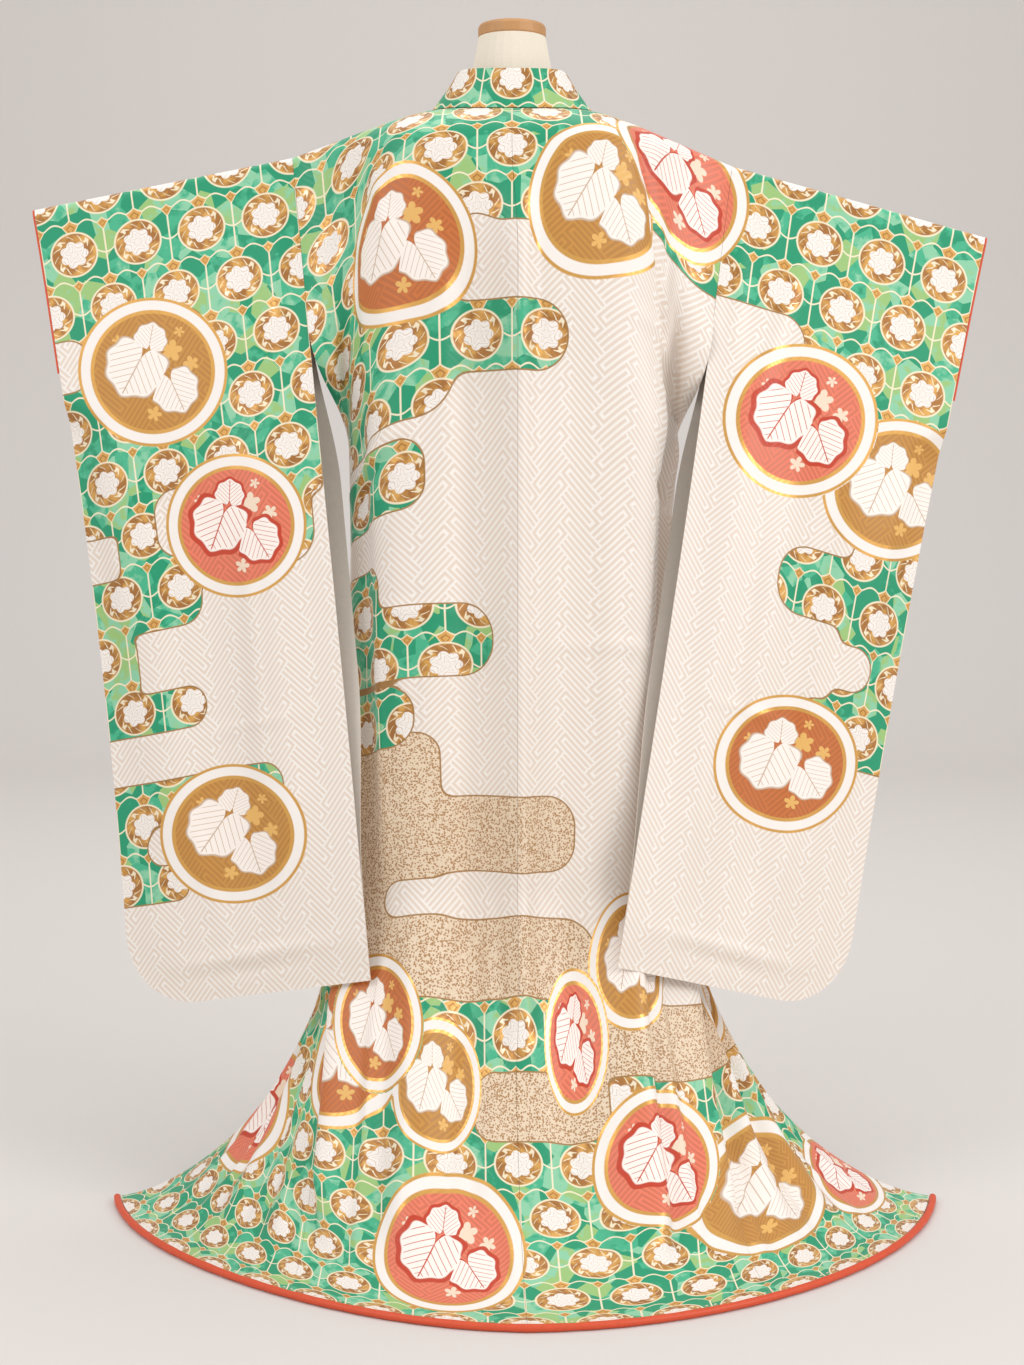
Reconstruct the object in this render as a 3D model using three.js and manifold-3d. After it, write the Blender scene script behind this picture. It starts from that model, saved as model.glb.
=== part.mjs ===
// A furisode, the long-sleeved kimono, spread out on a limbless dress form with its train fanned on the floor.
// Units are millimetres and +Z is up. The origin is on the floor, under the middle of the stand.
// The back of the garment faces -Y, and +X is the wearer's right.
//
// Cloth is described twice: by where it lies on the flat cut, and by where that point hangs.
// On the cut, "across" runs from the centre back seam round to the front edge (negative on the left half),
// and "down" runs from the shoulder fold to the hem.

import * as THREE from "three";
import Module from "manifold-3d";
import { mergeVertices } from "three/addons/utils/BufferGeometryUtils.js";

// ---------------------------------------------------------------- driving dimensions

const WALL = 2; // silk, interlining and lining together
const SEAM = 0.4; // between two edges that are sewn to each other

const BACK_WIDTH = 310; // centre back seam to side seam
const FRONT_WIDTH = 290; // side seam to overlap seam
const OVERLAP_WIDTH = 170; // overlap gore at the hem
const LENGTH = 1720; // shoulder fold to hem
const ARMHOLE = 250; // sleeve seam, down from the shoulder fold

const SLEEVE_WIDTH = 360; // sleeve seam to cuff
const SLEEVE_DROP = 1105; // top fold to foot on the cut; each side's own drop is what is left of it in the folds
const SLEEVE_CORNER = 105; // radius of the outer foot corner
const CUFF_OPENING = 230; // open stretch of the outer edge
const SLEEVE_SPREAD = 12; // how far each layer stands off below the fold, on top of the fold's own radius

const NECK_HALF = 112; // half width of the neck opening
const NECK_DROP = 68; // how far the back neck edge lies behind the shoulder fold
const SHOULDER_Z = 1500; // shoulder fold beside the neck
const COLLAR_WIDTH = 55;
const COLLAR_WALL = 3;
const COLLAR_GAP = 1.4; // collar edge to body edge
const COLLAR_END = 850; // lower end of the collar on each front

const FLARE_TOP = 450; // height where the skirt starts to sweep out
const FLARE_POWER = 0.65; // below 1, the sweep opens early
const HEM_CENTRE = { x: 18, y: 44 }; // the hem lies round this point
const HEM_RADIUS = { middle: 589, end: 582 };
const HEM_HALF_ANGLE = 78.4;
const HEM_TOP = 6.6; // height of the cloth's face where it meets the hem roll
const ROLL_RADIUS = 5;
const PIPING_RADIUS = 1.4;

const ROD_RADIUS = 8.7;
const FOLD_RADIUS = 12; // outer radius of the cloth where it folds over a rod
const ROD_SOCKET_X = 125; // inner end of each rod, inside the form's shoulder
const ROD_SHORT = 14; // each rod stops this far inside the cuff
const SOCKET_GAP = 0.3;

const POLE_RADIUS = 14;
const BASE_RADIUS = 165;
const BASE_HEIGHT = 18;

// How each side hangs. Lean is the drift towards the middle and tilt the drift towards -Y, per unit of drop,
// at the sleeve's inner and outer edges. Bow is the extra share of the lean that comes in the upper part.
// Furi is how far the far layer's inner edge swings past the near one, and hemDip flattens the hem's curve.
const SIDES = {
  left: {
    sign: -1,
    tip: { x: 653, z: 1363 },
    slope: 11.2,
    drop: 1106,
    innerLean: 0.102,
    outerLean: 0.113,
    innerBow: 0.06,
    outerBow: 0.54,
    innerTilt: 0.163,
    outerTilt: 0.045,
    furi: 20,
    hemDip: 25,
  },
  right: {
    sign: 1,
    tip: { x: 648, z: 1326 },
    slope: 15.4,
    drop: 1070,
    innerLean: 0.153,
    outerLean: 0.18,
    innerBow: -0.12,
    outerBow: 0.2,
    innerTilt: 0.2,
    outerTilt: 0.06,
    furi: 16,
    hemDip: 12,
  },
};

// Plan section of the hanging body at each height: half width, depth behind and in front of its middle line,
// where that line lies, the angles from centre back to the side seam and to the front edge,
// and how deep the gathers are past the side seam.
const GIRTHS = [
  { z: 1300, half: 232, back: 148, front: 128, middle: 10, side: 90, edge: 160, gather: 0 },
  { z: 1100, half: 226, back: 150, front: 135, middle: 15, side: 90, edge: 156, gather: 9 },
  { z: 900, half: 224, back: 152, front: 135, middle: 15, side: 88, edge: 150, gather: 20 },
  { z: 650, half: 228, back: 156, front: 128, middle: 10, side: 82, edge: 144, gather: 30 },
  { z: 450, half: 238, back: 165, front: 118, middle: 5, side: 74, edge: 138, gather: 34 },
];
const GATHER_START = 300; // across
const GATHER_PITCH = 112;
const SQUARENESS = 0.05; // flattens the back of the section a little

// Creases of the body: where the crease lies across the cut at its upper and lower end, its half width,
// its height (negative for a trough), how far its crest leans over, and where it begins and ends down the cut.
const BODY_FOLDS = [
  { top: 4, foot: 8, half: 38, height: 15, lean: 8, from: 150, to: 1330 },
  { top: -46, foot: -52, half: 46, height: -13, lean: 0, from: 190, to: 1250 },
  { top: 88, foot: 78, half: 46, height: -8, lean: 0, from: 300, to: 1120 },
  { top: 170, foot: 150, half: 50, height: 11, lean: 10, from: 330, to: 1080 },
  { top: 160, foot: 232, half: 30, height: -12, lean: 0, from: 12, to: 420 },
  { top: 236, foot: 226, half: 34, height: -22, lean: -8, from: 260, to: 1080 },
  { top: -150, foot: -140, half: 58, height: 8, lean: 0, from: 320, to: 1150 },
  { top: -222, foot: -214, half: 46, height: -11, lean: 0, from: 360, to: 1060 },
  { top: 140, foot: 156, half: 52, height: 24, lean: 24, from: 1040, to: 1620 },
  { top: 84, foot: 74, half: 46, height: -13, lean: 0, from: 1020, to: 1540 },
  { top: -70, foot: -80, half: 46, height: -12, lean: 0, from: 1060, to: 1540 },
  { top: -130, foot: -150, half: 52, height: 16, lean: 0, from: 1040, to: 1600 },
  { top: -240, foot: -262, half: 48, height: 20, lean: -26, from: 1060, to: 1580 },
  { top: 262, foot: 282, half: 46, height: 18, lean: 14, from: 1060, to: 1600 },
  { top: -352, foot: -372, half: 56, height: 18, lean: 0, from: 1180, to: 1640 },
  { top: 378, foot: 404, half: 56, height: 18, lean: 0, from: 1180, to: 1640 },
  { top: -470, foot: -500, half: 60, height: 15, lean: 0, from: 1200, to: 1650 },
  { top: 490, foot: 520, half: 60, height: 15, lean: 0, from: 1200, to: 1650 },
];
const FOLD_FADE = 150; // length over which a crease comes up and dies away

// Creases of the sleeves, measured from the sleeve seam and from the top fold. Height is towards -Y.
const SLEEVE_FOLDS = {
  left: [
    { top: 70, foot: 110, half: 60, height: 7, from: 260, to: 1000 },
    { top: 190, foot: 175, half: 70, height: -6, from: 330, to: 1040 },
    { top: 290, foot: 270, half: 60, height: 5, from: 240, to: 980 },
  ],
  right: [
    { top: 60, foot: 90, half: 55, height: 8, from: 200, to: 980 },
    { top: 150, foot: 170, half: 60, height: -7, from: 260, to: 1040 },
    { top: 270, foot: 250, half: 70, height: 6, from: 300, to: 1000 },
  ],
};

// How the collar stands from its seam: towards the middle, forwards and up, by place along its seam.
// Place is -90 at the centre back, 0 at the side of the neck, and then the distance down the front.
const COLLAR_SET = [
  { place: -90, inward: 0, forward: 13, up: 52 },
  { place: -45, inward: 15, forward: 10, up: 50 },
  { place: 0, inward: 36, forward: 10, up: 38 },
  { place: 60, inward: 46, forward: 20, up: 22 },
  { place: 150, inward: 50, forward: 22, up: 8 },
  { place: 300, inward: 51, forward: 18, up: 0 },
  { place: 850, inward: 49, forward: 22, up: 0 },
];

// The dress form's torso and neck, from the hip upwards.
const FORM = [
  { z: 815, half: 164, back: 104, front: 98 },
  { z: 880, half: 170, back: 108, front: 100 },
  { z: 960, half: 158, back: 98, front: 92 },
  { z: 1060, half: 132, back: 84, front: 84 },
  { z: 1150, half: 142, back: 92, front: 98 },
  { z: 1250, half: 164, back: 102, front: 112 },
  { z: 1340, half: 172, back: 104, front: 104 },
  { z: 1410, half: 176, back: 101, front: 90 },
  { z: 1442, half: 170, back: 92, front: 78 },
  { z: 1464, half: 152, back: 80, front: 66 },
  { z: 1480, half: 118, back: 66, front: 58 },
  { z: 1490, half: 84, back: 58, front: 54 },
  { z: 1502, half: 64, back: 54, front: 52 },
  { z: 1545, half: 55, back: 52, front: 52 },
  { z: 1593, half: 46, back: 46, front: 46 },
];
const FORM_SEGMENTS = 28;
const CAP_RADIUS = 46;
const CAP_HEIGHT = 18;

// ---------------------------------------------------------------- small helpers

const { lerp, clamp, degToRad } = THREE.MathUtils;

function smooth(from, to, x) {
  const t = clamp((x - from) / (to - from), 0, 1);
  return t * t * (3 - 2 * t);
}

// The rows of a table, read between its rows. The key column runs up or down.
function between(table, key, at) {
  const down = table[0][key] > table[1][key];
  let i = 0;
  while (i < table.length - 2 && (down ? at < table[i + 1][key] : at > table[i + 1][key])) i++;
  const [a, b] = [table[i], table[i + 1]];
  const t = clamp((at - a[key]) / (b[key] - a[key]), 0, 1);
  return Object.fromEntries(Object.keys(a).map((name) => [name, lerp(a[name], b[name], t)]));
}

// Height and sideways lean that a list of creases gives to a point of the cut.
function creases(folds, across, down) {
  const sum = { height: 0, lean: 0 };
  for (const fold of folds) {
    const axis = lerp(fold.top, fold.foot, clamp((down - fold.from) / (fold.to - fold.from), 0, 1));
    const off = Math.abs(across - axis) / fold.half;
    if (off >= 1 || down <= fold.from || down >= fold.to) continue;
    const fade = Math.min(FOLD_FADE, (fold.to - fold.from) / 2);
    const share =
      Math.cos((off * Math.PI) / 2) ** 2 *
      smooth(fold.from, fold.from + fade, down) *
      (1 - smooth(fold.to - fade, fold.to, down));
    sum.height += fold.height * share;
    sum.lean += (fold.lean ?? 0) * share;
  }
  return sum;
}

// ---------------------------------------------------------------- how cloth hangs from the shoulder line

for (const side of Object.values(SIDES)) {
  const slope = degToRad(side.slope);
  side.along = { x: Math.cos(slope), z: -Math.sin(slope) };
  side.seam = {
    x: side.tip.x - SLEEVE_WIDTH * side.along.x,
    z: side.tip.z - SLEEVE_WIDTH * side.along.z,
  };
}

// Cloth that folds over a quarter ellipse and then hangs. The back layer lies at mid - half, the front at mid + half.
function hang(top, { depth, drop, lean, bow, tilt, spread }, down) {
  const arc = (Math.PI / 2) * Math.sqrt((depth * depth + drop * drop) / 2);
  const turn = (Math.min(1, down / arc) * Math.PI) / 2;
  const below = Math.max(0, down - arc);
  return {
    x: top.x - lean * down * (1 + bow * (1 - down / SLEEVE_DROP)),
    mid: -tilt * below,
    half: depth * Math.sin(turn) + spread * smooth(0, ARMHOLE, below),
    z: top.z - drop * (1 - Math.cos(turn)) - below,
    arc,
  };
}

const NECK_ROUND = 60; // the shoulder line bends down softly over this length beside the neck

function shoulderDrop(across) {
  const past = (u) => (Math.hypot(u - NECK_HALF, NECK_ROUND) + u - NECK_HALF) / 2;
  return (past(across) - past(0)) / (past(BACK_WIDTH) - past(0));
}

function shoulderPoint(side, across) {
  const out = Math.max(0, (across - NECK_HALF) / (BACK_WIDTH - NECK_HALF));
  return {
    x: across <= NECK_HALF ? across : lerp(NECK_HALF, side.seam.x, out),
    z: lerp(SHOULDER_Z, side.seam.z, shoulderDrop(across)),
  };
}

// ---------------------------------------------------------------- the body

const OVERLAP_SEAM = BACK_WIDTH + FRONT_WIDTH;
const OVERLAP_TIP = 200; // the gore runs to a point here
const OVERLAP_FULL = 850; // and has its full width from here down

const overlapWidth = (down) =>
  OVERLAP_WIDTH * clamp((down - OVERLAP_TIP) / (OVERLAP_FULL - OVERLAP_TIP), 0, 1);

// Place on the plan section of the hanging body.
function girthPoint(across, down, z) {
  const row = between(GIRTHS, "z", z);
  const edge = OVERLAP_SEAM + overlapWidth(down);
  const x =
    across <= BACK_WIDTH
      ? (row.side * across) / BACK_WIDTH
      : lerp(row.side, row.edge, (across - BACK_WIDTH) / (edge - BACK_WIDTH));
  const even = degToRad(x);
  const angle = even - 0.0745 * Math.sin(2 * even) - 0.04 * Math.sin(4 * even);
  const round = (a, b) => (a + SQUARENESS * b) / (1 - SQUARENESS);
  const back = round(Math.cos(angle), -Math.cos(3 * angle));
  return {
    x: row.half * round(Math.sin(angle), Math.sin(3 * angle)),
    y: row.middle - (back > 0 ? row.back : row.front) * back,
    gather: row.gather,
  };
}

// Place on the floor where the hem lies, or a place further in.
function hemPoint(side, across, inset) {
  const round = across / (OVERLAP_SEAM + OVERLAP_WIDTH);
  const dip = side.hemDip * Math.sin(Math.PI * clamp(round, 0, 1)) ** 1.5;
  const radius = lerp(HEM_RADIUS.middle, HEM_RADIUS.end, round) - dip - inset;
  const angle = degToRad(HEM_HALF_ANGLE * round);
  return {
    x: HEM_CENTRE.x + side.sign * radius * Math.sin(angle),
    y: HEM_CENTRE.y - radius * Math.cos(angle),
  };
}

const LEVELLING = 0.75; // share of the shoulder's slope that is gone by the waist
const LEVEL_LIFT = 12;

// The smooth body before its creases. Across is signed, and face tells back from front above the side seam.
function bodyForm(signed, down, face) {
  const side = signed < 0 ? SIDES.left : SIDES.right;
  const across = Math.abs(signed);
  const reach =
    face < 0
      ? across
      : BACK_WIDTH - ((across - BACK_WIDTH) * (BACK_WIDTH - NECK_HALF)) / FRONT_WIDTH;
  const top = shoulderPoint(side, reach);
  const out = smooth(NECK_HALF, BACK_WIDTH, reach);
  const fold = {
    depth: lerp(face < 0 ? 118 : 112, FOLD_RADIUS, out),
    drop: lerp(face < 0 ? 62 : 70, FOLD_RADIUS, out),
    lean: side.innerLean * out,
    bow: side.innerBow,
    tilt: side.innerTilt * out,
    spread: SLEEVE_SPREAD * out,
  };
  const hung = hang(top, fold, down);
  const offset = top.z - SHOULDER_Z - fold.drop + hung.arc;
  const level = LEVELLING * (offset - LEVEL_LIFT);
  const sweepStart = SHOULDER_Z + offset - level - FLARE_TOP;
  const swept = clamp((down - sweepStart) / (LENGTH - sweepStart), 0, 1);
  const z =
    swept > 0
      ? lerp(FLARE_TOP, HEM_TOP, Math.sin((swept * Math.PI) / 2))
      : hung.z - level * smooth(ARMHOLE, 750, down);

  const plan = girthPoint(across, down, Math.max(z, FLARE_TOP));
  const outer = smooth(150, BACK_WIDTH, reach);
  const settled = smooth(lerp(20, ARMHOLE - 15, outer), lerp(260, 430, outer), down);
  const point = new THREE.Vector3(
    side.sign * lerp(hung.x, plan.x, settled),
    lerp(hung.mid + face * hung.half, plan.y, settled),
    z,
  );
  if (swept > 0) {
    const hem = hemPoint(side, across, 2 * ROLL_RADIUS + SEAM);
    const share = (1 - Math.cos((swept * Math.PI) / 2)) ** FLARE_POWER;
    point.x = lerp(point.x, hem.x, share);
    point.y = lerp(point.y, hem.y, share);
  }
  const gathered =
    across > GATHER_START ? Math.sin((Math.PI * (across - GATHER_START)) / GATHER_PITCH) ** 2 : 0;
  return { point, gather: gathered * plan.gather * settled * (1 - smooth(0.05, 0.8, swept)) };
}

const STEP = 1; // for slopes

// Directions of a surface, from the function that gives its points: along the cut from left to right,
// and straight out of the garment.
function slopes(pointAt, across, down) {
  const alongAcross = pointAt(across + STEP, down).sub(pointAt(across - STEP, down)).normalize();
  const alongDown = pointAt(across, down + STEP).sub(pointAt(across, down - STEP)).normalize();
  return { alongAcross, outward: alongDown.cross(alongAcross).normalize() };
}

// The face of the body with its creases. Signed is the place across, and face is -1 behind and 1 in front.
function bodyPoint(signed, down, face) {
  const formAt = (a, d) => bodyForm(a, d, face).point;
  const { alongAcross, outward } = slopes(formAt, signed, Math.max(down, STEP));
  const { point, gather } = bodyForm(signed, down, face);
  const crease = creases(BODY_FOLDS, signed, down);
  return point
    .addScaledVector(outward, crease.height - gather)
    .addScaledVector(alongAcross, crease.lean);
}

function bodyOutward(signed, down, face) {
  const at = (a, d) => bodyPoint(a, d, face);
  return slopes(at, signed, Math.max(down, STEP)).outward;
}

// ---------------------------------------------------------------- the sleeves

const SEWN_HALF = WALL + SEAM / 2; // half the depth where the two layers are sewn together
const CLOSING = 62; // the layers come together over this distance

// Length of the sleeve at a place across it, with its round outer corner.
function sleeveLength(drop, across) {
  const past = across - (SLEEVE_WIDTH - SLEEVE_CORNER);
  if (past <= 0) return drop;
  return drop - SLEEVE_CORNER + Math.sqrt(Math.max(0, SLEEVE_CORNER ** 2 - past ** 2));
}

// Distance to the sewn edges. The outer edge isn't sewn along the cuff opening.
function sewnDistance(drop, across, down) {
  const open = 90 * (1 - smooth(CUFF_OPENING, CUFF_OPENING + 90, down));
  const past = {
    across: across - (SLEEVE_WIDTH - SLEEVE_CORNER),
    down: down - (drop - SLEEVE_CORNER),
  };
  if (past.across > 0 && past.down > 0) return SLEEVE_CORNER - Math.hypot(past.across, past.down);
  return Math.min(SLEEVE_WIDTH - across + open, drop - down);
}

function sleevePoint(name, signed, down, face) {
  const side = SIDES[name];
  const across = signed * side.sign;
  const out = across / SLEEVE_WIDTH;
  const top = {
    x: side.seam.x + across * side.along.x,
    z: side.seam.z + across * side.along.z,
  };
  const fold = {
    depth: FOLD_RADIUS,
    drop: FOLD_RADIUS,
    lean: lerp(side.innerLean, side.outerLean, out),
    bow: lerp(side.innerBow, side.outerBow, out),
    tilt: lerp(side.innerTilt, side.outerTilt, out),
    spread: SLEEVE_SPREAD,
  };
  const hung = hang(top, fold, down);
  const slack = lerp(1, 0.22, smooth(350, 850, down));
  const full = hung.half < SEWN_HALF ? hung.half : lerp(SEWN_HALF, hung.half, slack);
  const closed = 1 - smooth(0, CLOSING, sewnDistance(side.drop, across, down));
  const depth = lerp(full, SEWN_HALF, closed);
  const swing =
    face > 0
      ? side.furi * smooth(ARMHOLE, 450, down) * (1 - smooth(700, 1000, down)) * (1 - smooth(0, 130, across))
      : 0;
  const crease = creases(SLEEVE_FOLDS[name], across, down);
  return new THREE.Vector3(side.sign * (hung.x - swing), hung.mid + face * depth - crease.height, hung.z);
}

function sleeveOutward(name, signed, down, face) {
  const at = (a, d) => sleevePoint(name, a, d, face);
  return slopes(at, signed, Math.max(down, STEP)).outward.multiplyScalar(-face);
}

// ---------------------------------------------------------------- solids from sheets

// A closed wall from a grid of places. Each place gives its outer point and its outward direction.
function wall(grid, thickness) {
  const rows = grid.length;
  const columns = grid[0].length;
  const positions = [];
  for (const inset of [0, thickness]) {
    for (const row of grid) {
      for (const { point, outward } of row) {
        positions.push(...point.clone().addScaledVector(outward, -inset).toArray());
      }
    }
  }
  const outer = (i, j) => i * columns + j;
  const inner = (i, j) => rows * columns + i * columns + j;
  const faces = [];
  const quad = (a, b, c, d) => faces.push(a, b, c, a, c, d);
  for (let i = 0; i < rows - 1; i++) {
    for (let j = 0; j < columns - 1; j++) {
      quad(outer(i, j), outer(i, j + 1), outer(i + 1, j + 1), outer(i + 1, j));
      quad(inner(i, j), inner(i + 1, j), inner(i + 1, j + 1), inner(i, j + 1));
    }
    const last = columns - 1;
    quad(outer(i, 0), outer(i + 1, 0), inner(i + 1, 0), inner(i, 0));
    quad(outer(i, last), inner(i, last), inner(i + 1, last), outer(i + 1, last));
  }
  for (let j = 0; j < columns - 1; j++) {
    const last = rows - 1;
    quad(outer(0, j), inner(0, j), inner(0, j + 1), outer(0, j + 1));
    quad(outer(last, j), outer(last, j + 1), inner(last, j + 1), inner(last, j));
  }
  return solid(positions, faces);
}

// A geometry whose faces point out.
function solid(positions, faces) {
  const corner = (index) => new THREE.Vector3().fromArray(positions, index * 3);
  let volume = 0;
  for (let i = 0; i < faces.length; i += 3) {
    const [a, b, c] = [corner(faces[i]), corner(faces[i + 1]), corner(faces[i + 2])];
    volume += a.dot(b.cross(c));
  }
  const geometry = new THREE.BufferGeometry();
  geometry.setAttribute("position", new THREE.Float32BufferAttribute(positions, 3));
  geometry.setIndex(volume < 0 ? faces.toReversed() : faces);
  geometry.computeVertexNormals();
  return geometry;
}

// Closed rings, one above the other, with a flat top and bottom.
function loft(rings) {
  const count = rings[0].length;
  const positions = rings.flat().flatMap((point) => point.toArray());
  const faces = [];
  const at = (i, j) => i * count + (j % count);
  for (let i = 0; i < rings.length - 1; i++) {
    for (let j = 0; j < count; j++) {
      faces.push(at(i, j), at(i, j + 1), at(i + 1, j + 1), at(i, j), at(i + 1, j + 1), at(i + 1, j));
    }
  }
  for (let j = 1; j < count - 1; j++) {
    faces.push(at(0, 0), at(0, j + 1), at(0, j));
    faces.push(at(rings.length - 1, 0), at(rings.length - 1, j), at(rings.length - 1, j + 1));
  }
  return solid(positions, faces);
}

function tube(points, radius, sides, steps) {
  const section = new THREE.Shape(
    Array.from({ length: sides }, (_, i) => {
      const angle = (2 * Math.PI * i) / sides;
      return new THREE.Vector2(radius * Math.cos(angle), radius * Math.sin(angle));
    }),
  );
  const path = new THREE.CatmullRomCurve3(points);
  return new THREE.ExtrudeGeometry(section, { steps, bevelEnabled: false, extrudePath: path });
}

// ---------------------------------------------------------------- pieces of the garment

const BACK_ROWS = [
  6, 12.5, 19, 40, 58, 66.5, 68, 95, 130, 170, 212, 250, 285, 325, 370, 430, 510, 620, 740, 860, 970,
  1050, 1130, 1210, 1290, 1370, 1450, 1530, 1610, 1670, LENGTH,
];
const FRONT_ROWS = [
  6, 12.5, 19, 40, 68, 95, 130, 170, 212, 250, 285, 325, 370, 430, 530, 680, 850, 1000, 1110, 1220, 1330,
  1440, 1540, 1630, LENGTH,
];
const BODY_COLUMNS = 13;
const OVERLAP_ROWS = FRONT_ROWS.filter((down) => down > OVERLAP_TIP);
const OVERLAP_COLUMNS = 6;
const SLEEVE_ROWS = [
  6, 12.5, 19, 45, 90, 150, 205, 230, 250, 300, 370, 450, 540, 640, 740, 830, 910, 980, 1035, 1070,
  SLEEVE_DROP,
];
const SLEEVE_COLUMNS = [SEAM / 2, 45, 95, 150, 205, 255, 295, 325, 345, 356, SLEEVE_WIDTH];

// Inner edge of the back: the neck curve, then the centre back seam.
function backInner(down) {
  return down < NECK_DROP ? NECK_HALF * Math.sqrt(1 - (down / NECK_DROP) ** 2) : SEAM / 2;
}

function bodyPlace(signed, down, face) {
  return { point: bodyPoint(signed, down, face), outward: bodyOutward(signed, down, face) };
}

// One length of cloth from the back hem over the shoulder to the front hem.
function body(name) {
  const { sign } = SIDES[name];
  const shares = Array.from({ length: BODY_COLUMNS }, (_, j) => j / (BODY_COLUMNS - 1));
  const back = (down) =>
    shares.map((c) => bodyPlace(sign * lerp(backInner(down), BACK_WIDTH - SEAM / 2, c), down, -1));
  const front = (down) =>
    shares.map((c) => bodyPlace(sign * lerp(OVERLAP_SEAM - SEAM / 2, BACK_WIDTH + SEAM / 2, c), down, 1));
  const behind = back(0);
  const before = front(0);
  const ridge = behind.map(({ point, outward }, j) => ({
    point,
    outward: outward.add(before[j].outward).normalize(),
  }));
  return wall([...BACK_ROWS.toReversed().map(back), ridge, ...FRONT_ROWS.map(front)], WALL);
}

function overlap(name) {
  const { sign } = SIDES[name];
  const row = (down) =>
    Array.from({ length: OVERLAP_COLUMNS }, (_, j) => {
      const share = j / (OVERLAP_COLUMNS - 1);
      return bodyPlace(sign * (OVERLAP_SEAM + lerp(SEAM / 2, overlapWidth(down), share)), down, 1);
    });
  return wall(OVERLAP_ROWS.map(row), WALL);
}

// One length folded over at the top.
function sleeve(name) {
  const { sign, drop } = SIDES[name];
  const layer = (face) => (row) =>
    SLEEVE_COLUMNS.map((across) => {
      const down = row - (SLEEVE_DROP - sleeveLength(drop, across)) * smooth(500, SLEEVE_DROP, row);
      return {
        point: sleevePoint(name, sign * across, down, face),
        outward: sleeveOutward(name, sign * across, down, face),
      };
    });
  const behind = layer(-1)(0);
  const before = layer(1)(0);
  const ridge = behind.map(({ point, outward }, j) => ({
    point,
    outward: outward.add(before[j].outward).normalize(),
  }));
  return wall([...SLEEVE_ROWS.toReversed().map(layer(-1)), ridge, ...SLEEVE_ROWS.map(layer(1))], WALL);
}

const NECK_RUN = 90; // stands for the half neck curve when places are counted along the collar

// The line that the collar is sewn to.
function collarSeam(sign, place) {
  if (place < 0) {
    const turn = (-place / NECK_RUN) * (Math.PI / 2);
    return bodyPoint(sign * NECK_HALF * Math.cos(turn), NECK_DROP * Math.sin(turn), -1);
  }
  return bodyPoint(sign * (OVERLAP_SEAM + overlapWidth(place)), place, 1);
}

function collarPoint(run, rise) {
  const sign = run < 0 ? -1 : 1;
  const place = Math.abs(run) - NECK_RUN;
  const set = between(COLLAR_SET, "place", place);
  const stand = new THREE.Vector3(-sign * set.inward, set.forward, set.up).normalize();
  return collarSeam(sign, place).addScaledVector(stand, COLLAR_GAP + rise * COLLAR_WIDTH);
}

function collar() {
  const round = [12, 24, 36, 48, 60, 70, 80, 90];
  const down = [19, ...FRONT_ROWS.filter((row) => row > 19 && row <= COLLAR_END)];
  const half = [...round, ...down.map((row) => NECK_RUN + row)];
  const runs = [...half.toReversed().map((run) => -run), 0, ...half];
  const at = (run, rise) => collarPoint(run, rise);
  const grid = runs.map((run) =>
    [0, 0.5, 1].map((rise) => {
      const alongRun = at(run + 2, rise).sub(at(run - 2, rise));
      const alongRise = at(run, rise + 0.05).sub(at(run, rise - 0.05));
      return { point: at(run, rise), outward: alongRun.cross(alongRise).normalize() };
    }),
  );
  return wall(grid, COLLAR_WALL);
}

function hemRoll() {
  const reach = OVERLAP_SEAM + OVERLAP_WIDTH;
  const points = Array.from({ length: 33 }, (_, i) => {
    const across = lerp(-reach, reach, i / 32);
    const side = across < 0 ? SIDES.left : SIDES.right;
    const { x, y } = hemPoint(side, Math.abs(across), ROLL_RADIUS);
    return new THREE.Vector3(x, y, ROLL_RADIUS);
  });
  return tube(points, ROLL_RADIUS, 8, 48);
}

// Thin rolled edge round a cuff opening.
function cuffPiping(name) {
  const { sign, along } = SIDES[name];
  const offset = SEAM + PIPING_RADIUS;
  const downs = [CUFF_OPENING, 190, 150, 110, 70, 40, 19, 12.5, 6];
  const edge = (down, face) =>
    sleevePoint(name, sign * SLEEVE_WIDTH, down, face)
      .addScaledVector(sleeveOutward(name, sign * SLEEVE_WIDTH, down, face), -WALL / 2)
      .add(new THREE.Vector3(sign * along.x * offset, 0, along.z * offset));
  const points = [
    ...downs.map((down) => edge(down, -1)),
    edge(0, -1).setY(0),
    ...downs.toReversed().map((down) => edge(down, 1)),
  ];
  return tube(points, PIPING_RADIUS, 6, 40);
}

// ---------------------------------------------------------------- dress form, rods and stand

function ring({ z, half, back, front }) {
  return Array.from({ length: FORM_SEGMENTS }, (_, i) => {
    const angle = (2 * Math.PI * i) / FORM_SEGMENTS;
    const depth = Math.sin(angle) < 0 ? back : front;
    return new THREE.Vector3(half * Math.cos(angle), depth * Math.sin(angle), z);
  });
}

// A rod lies along the sleeve's top fold, inside it.
function rodGeometry(name, radius, extra) {
  const { sign, seam, tip, along } = SIDES[name];
  const end = SLEEVE_WIDTH - ROD_SHORT;
  const start = (ROD_SOCKET_X - seam.x) / along.x - extra;
  const length = end - start;
  const middle = (start + end) / 2;
  const geometry = new THREE.CylinderGeometry(radius, radius, length, 16);
  geometry.rotateX(Math.PI / 2).rotateY(Math.atan2(along.x, along.z));
  geometry.translate(seam.x + middle * along.x, 0, seam.z + middle * along.z - FOLD_RADIUS);
  return sign < 0 ? mirrored(geometry) : geometry;
}

function mirrored(geometry) {
  const merged = welded(geometry);
  const { array } = merged.getAttribute("position");
  const positions = Array.from(array, (value, i) => (i % 3 === 0 ? -value : value));
  return solid(positions, [...merged.index.array]);
}

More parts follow.
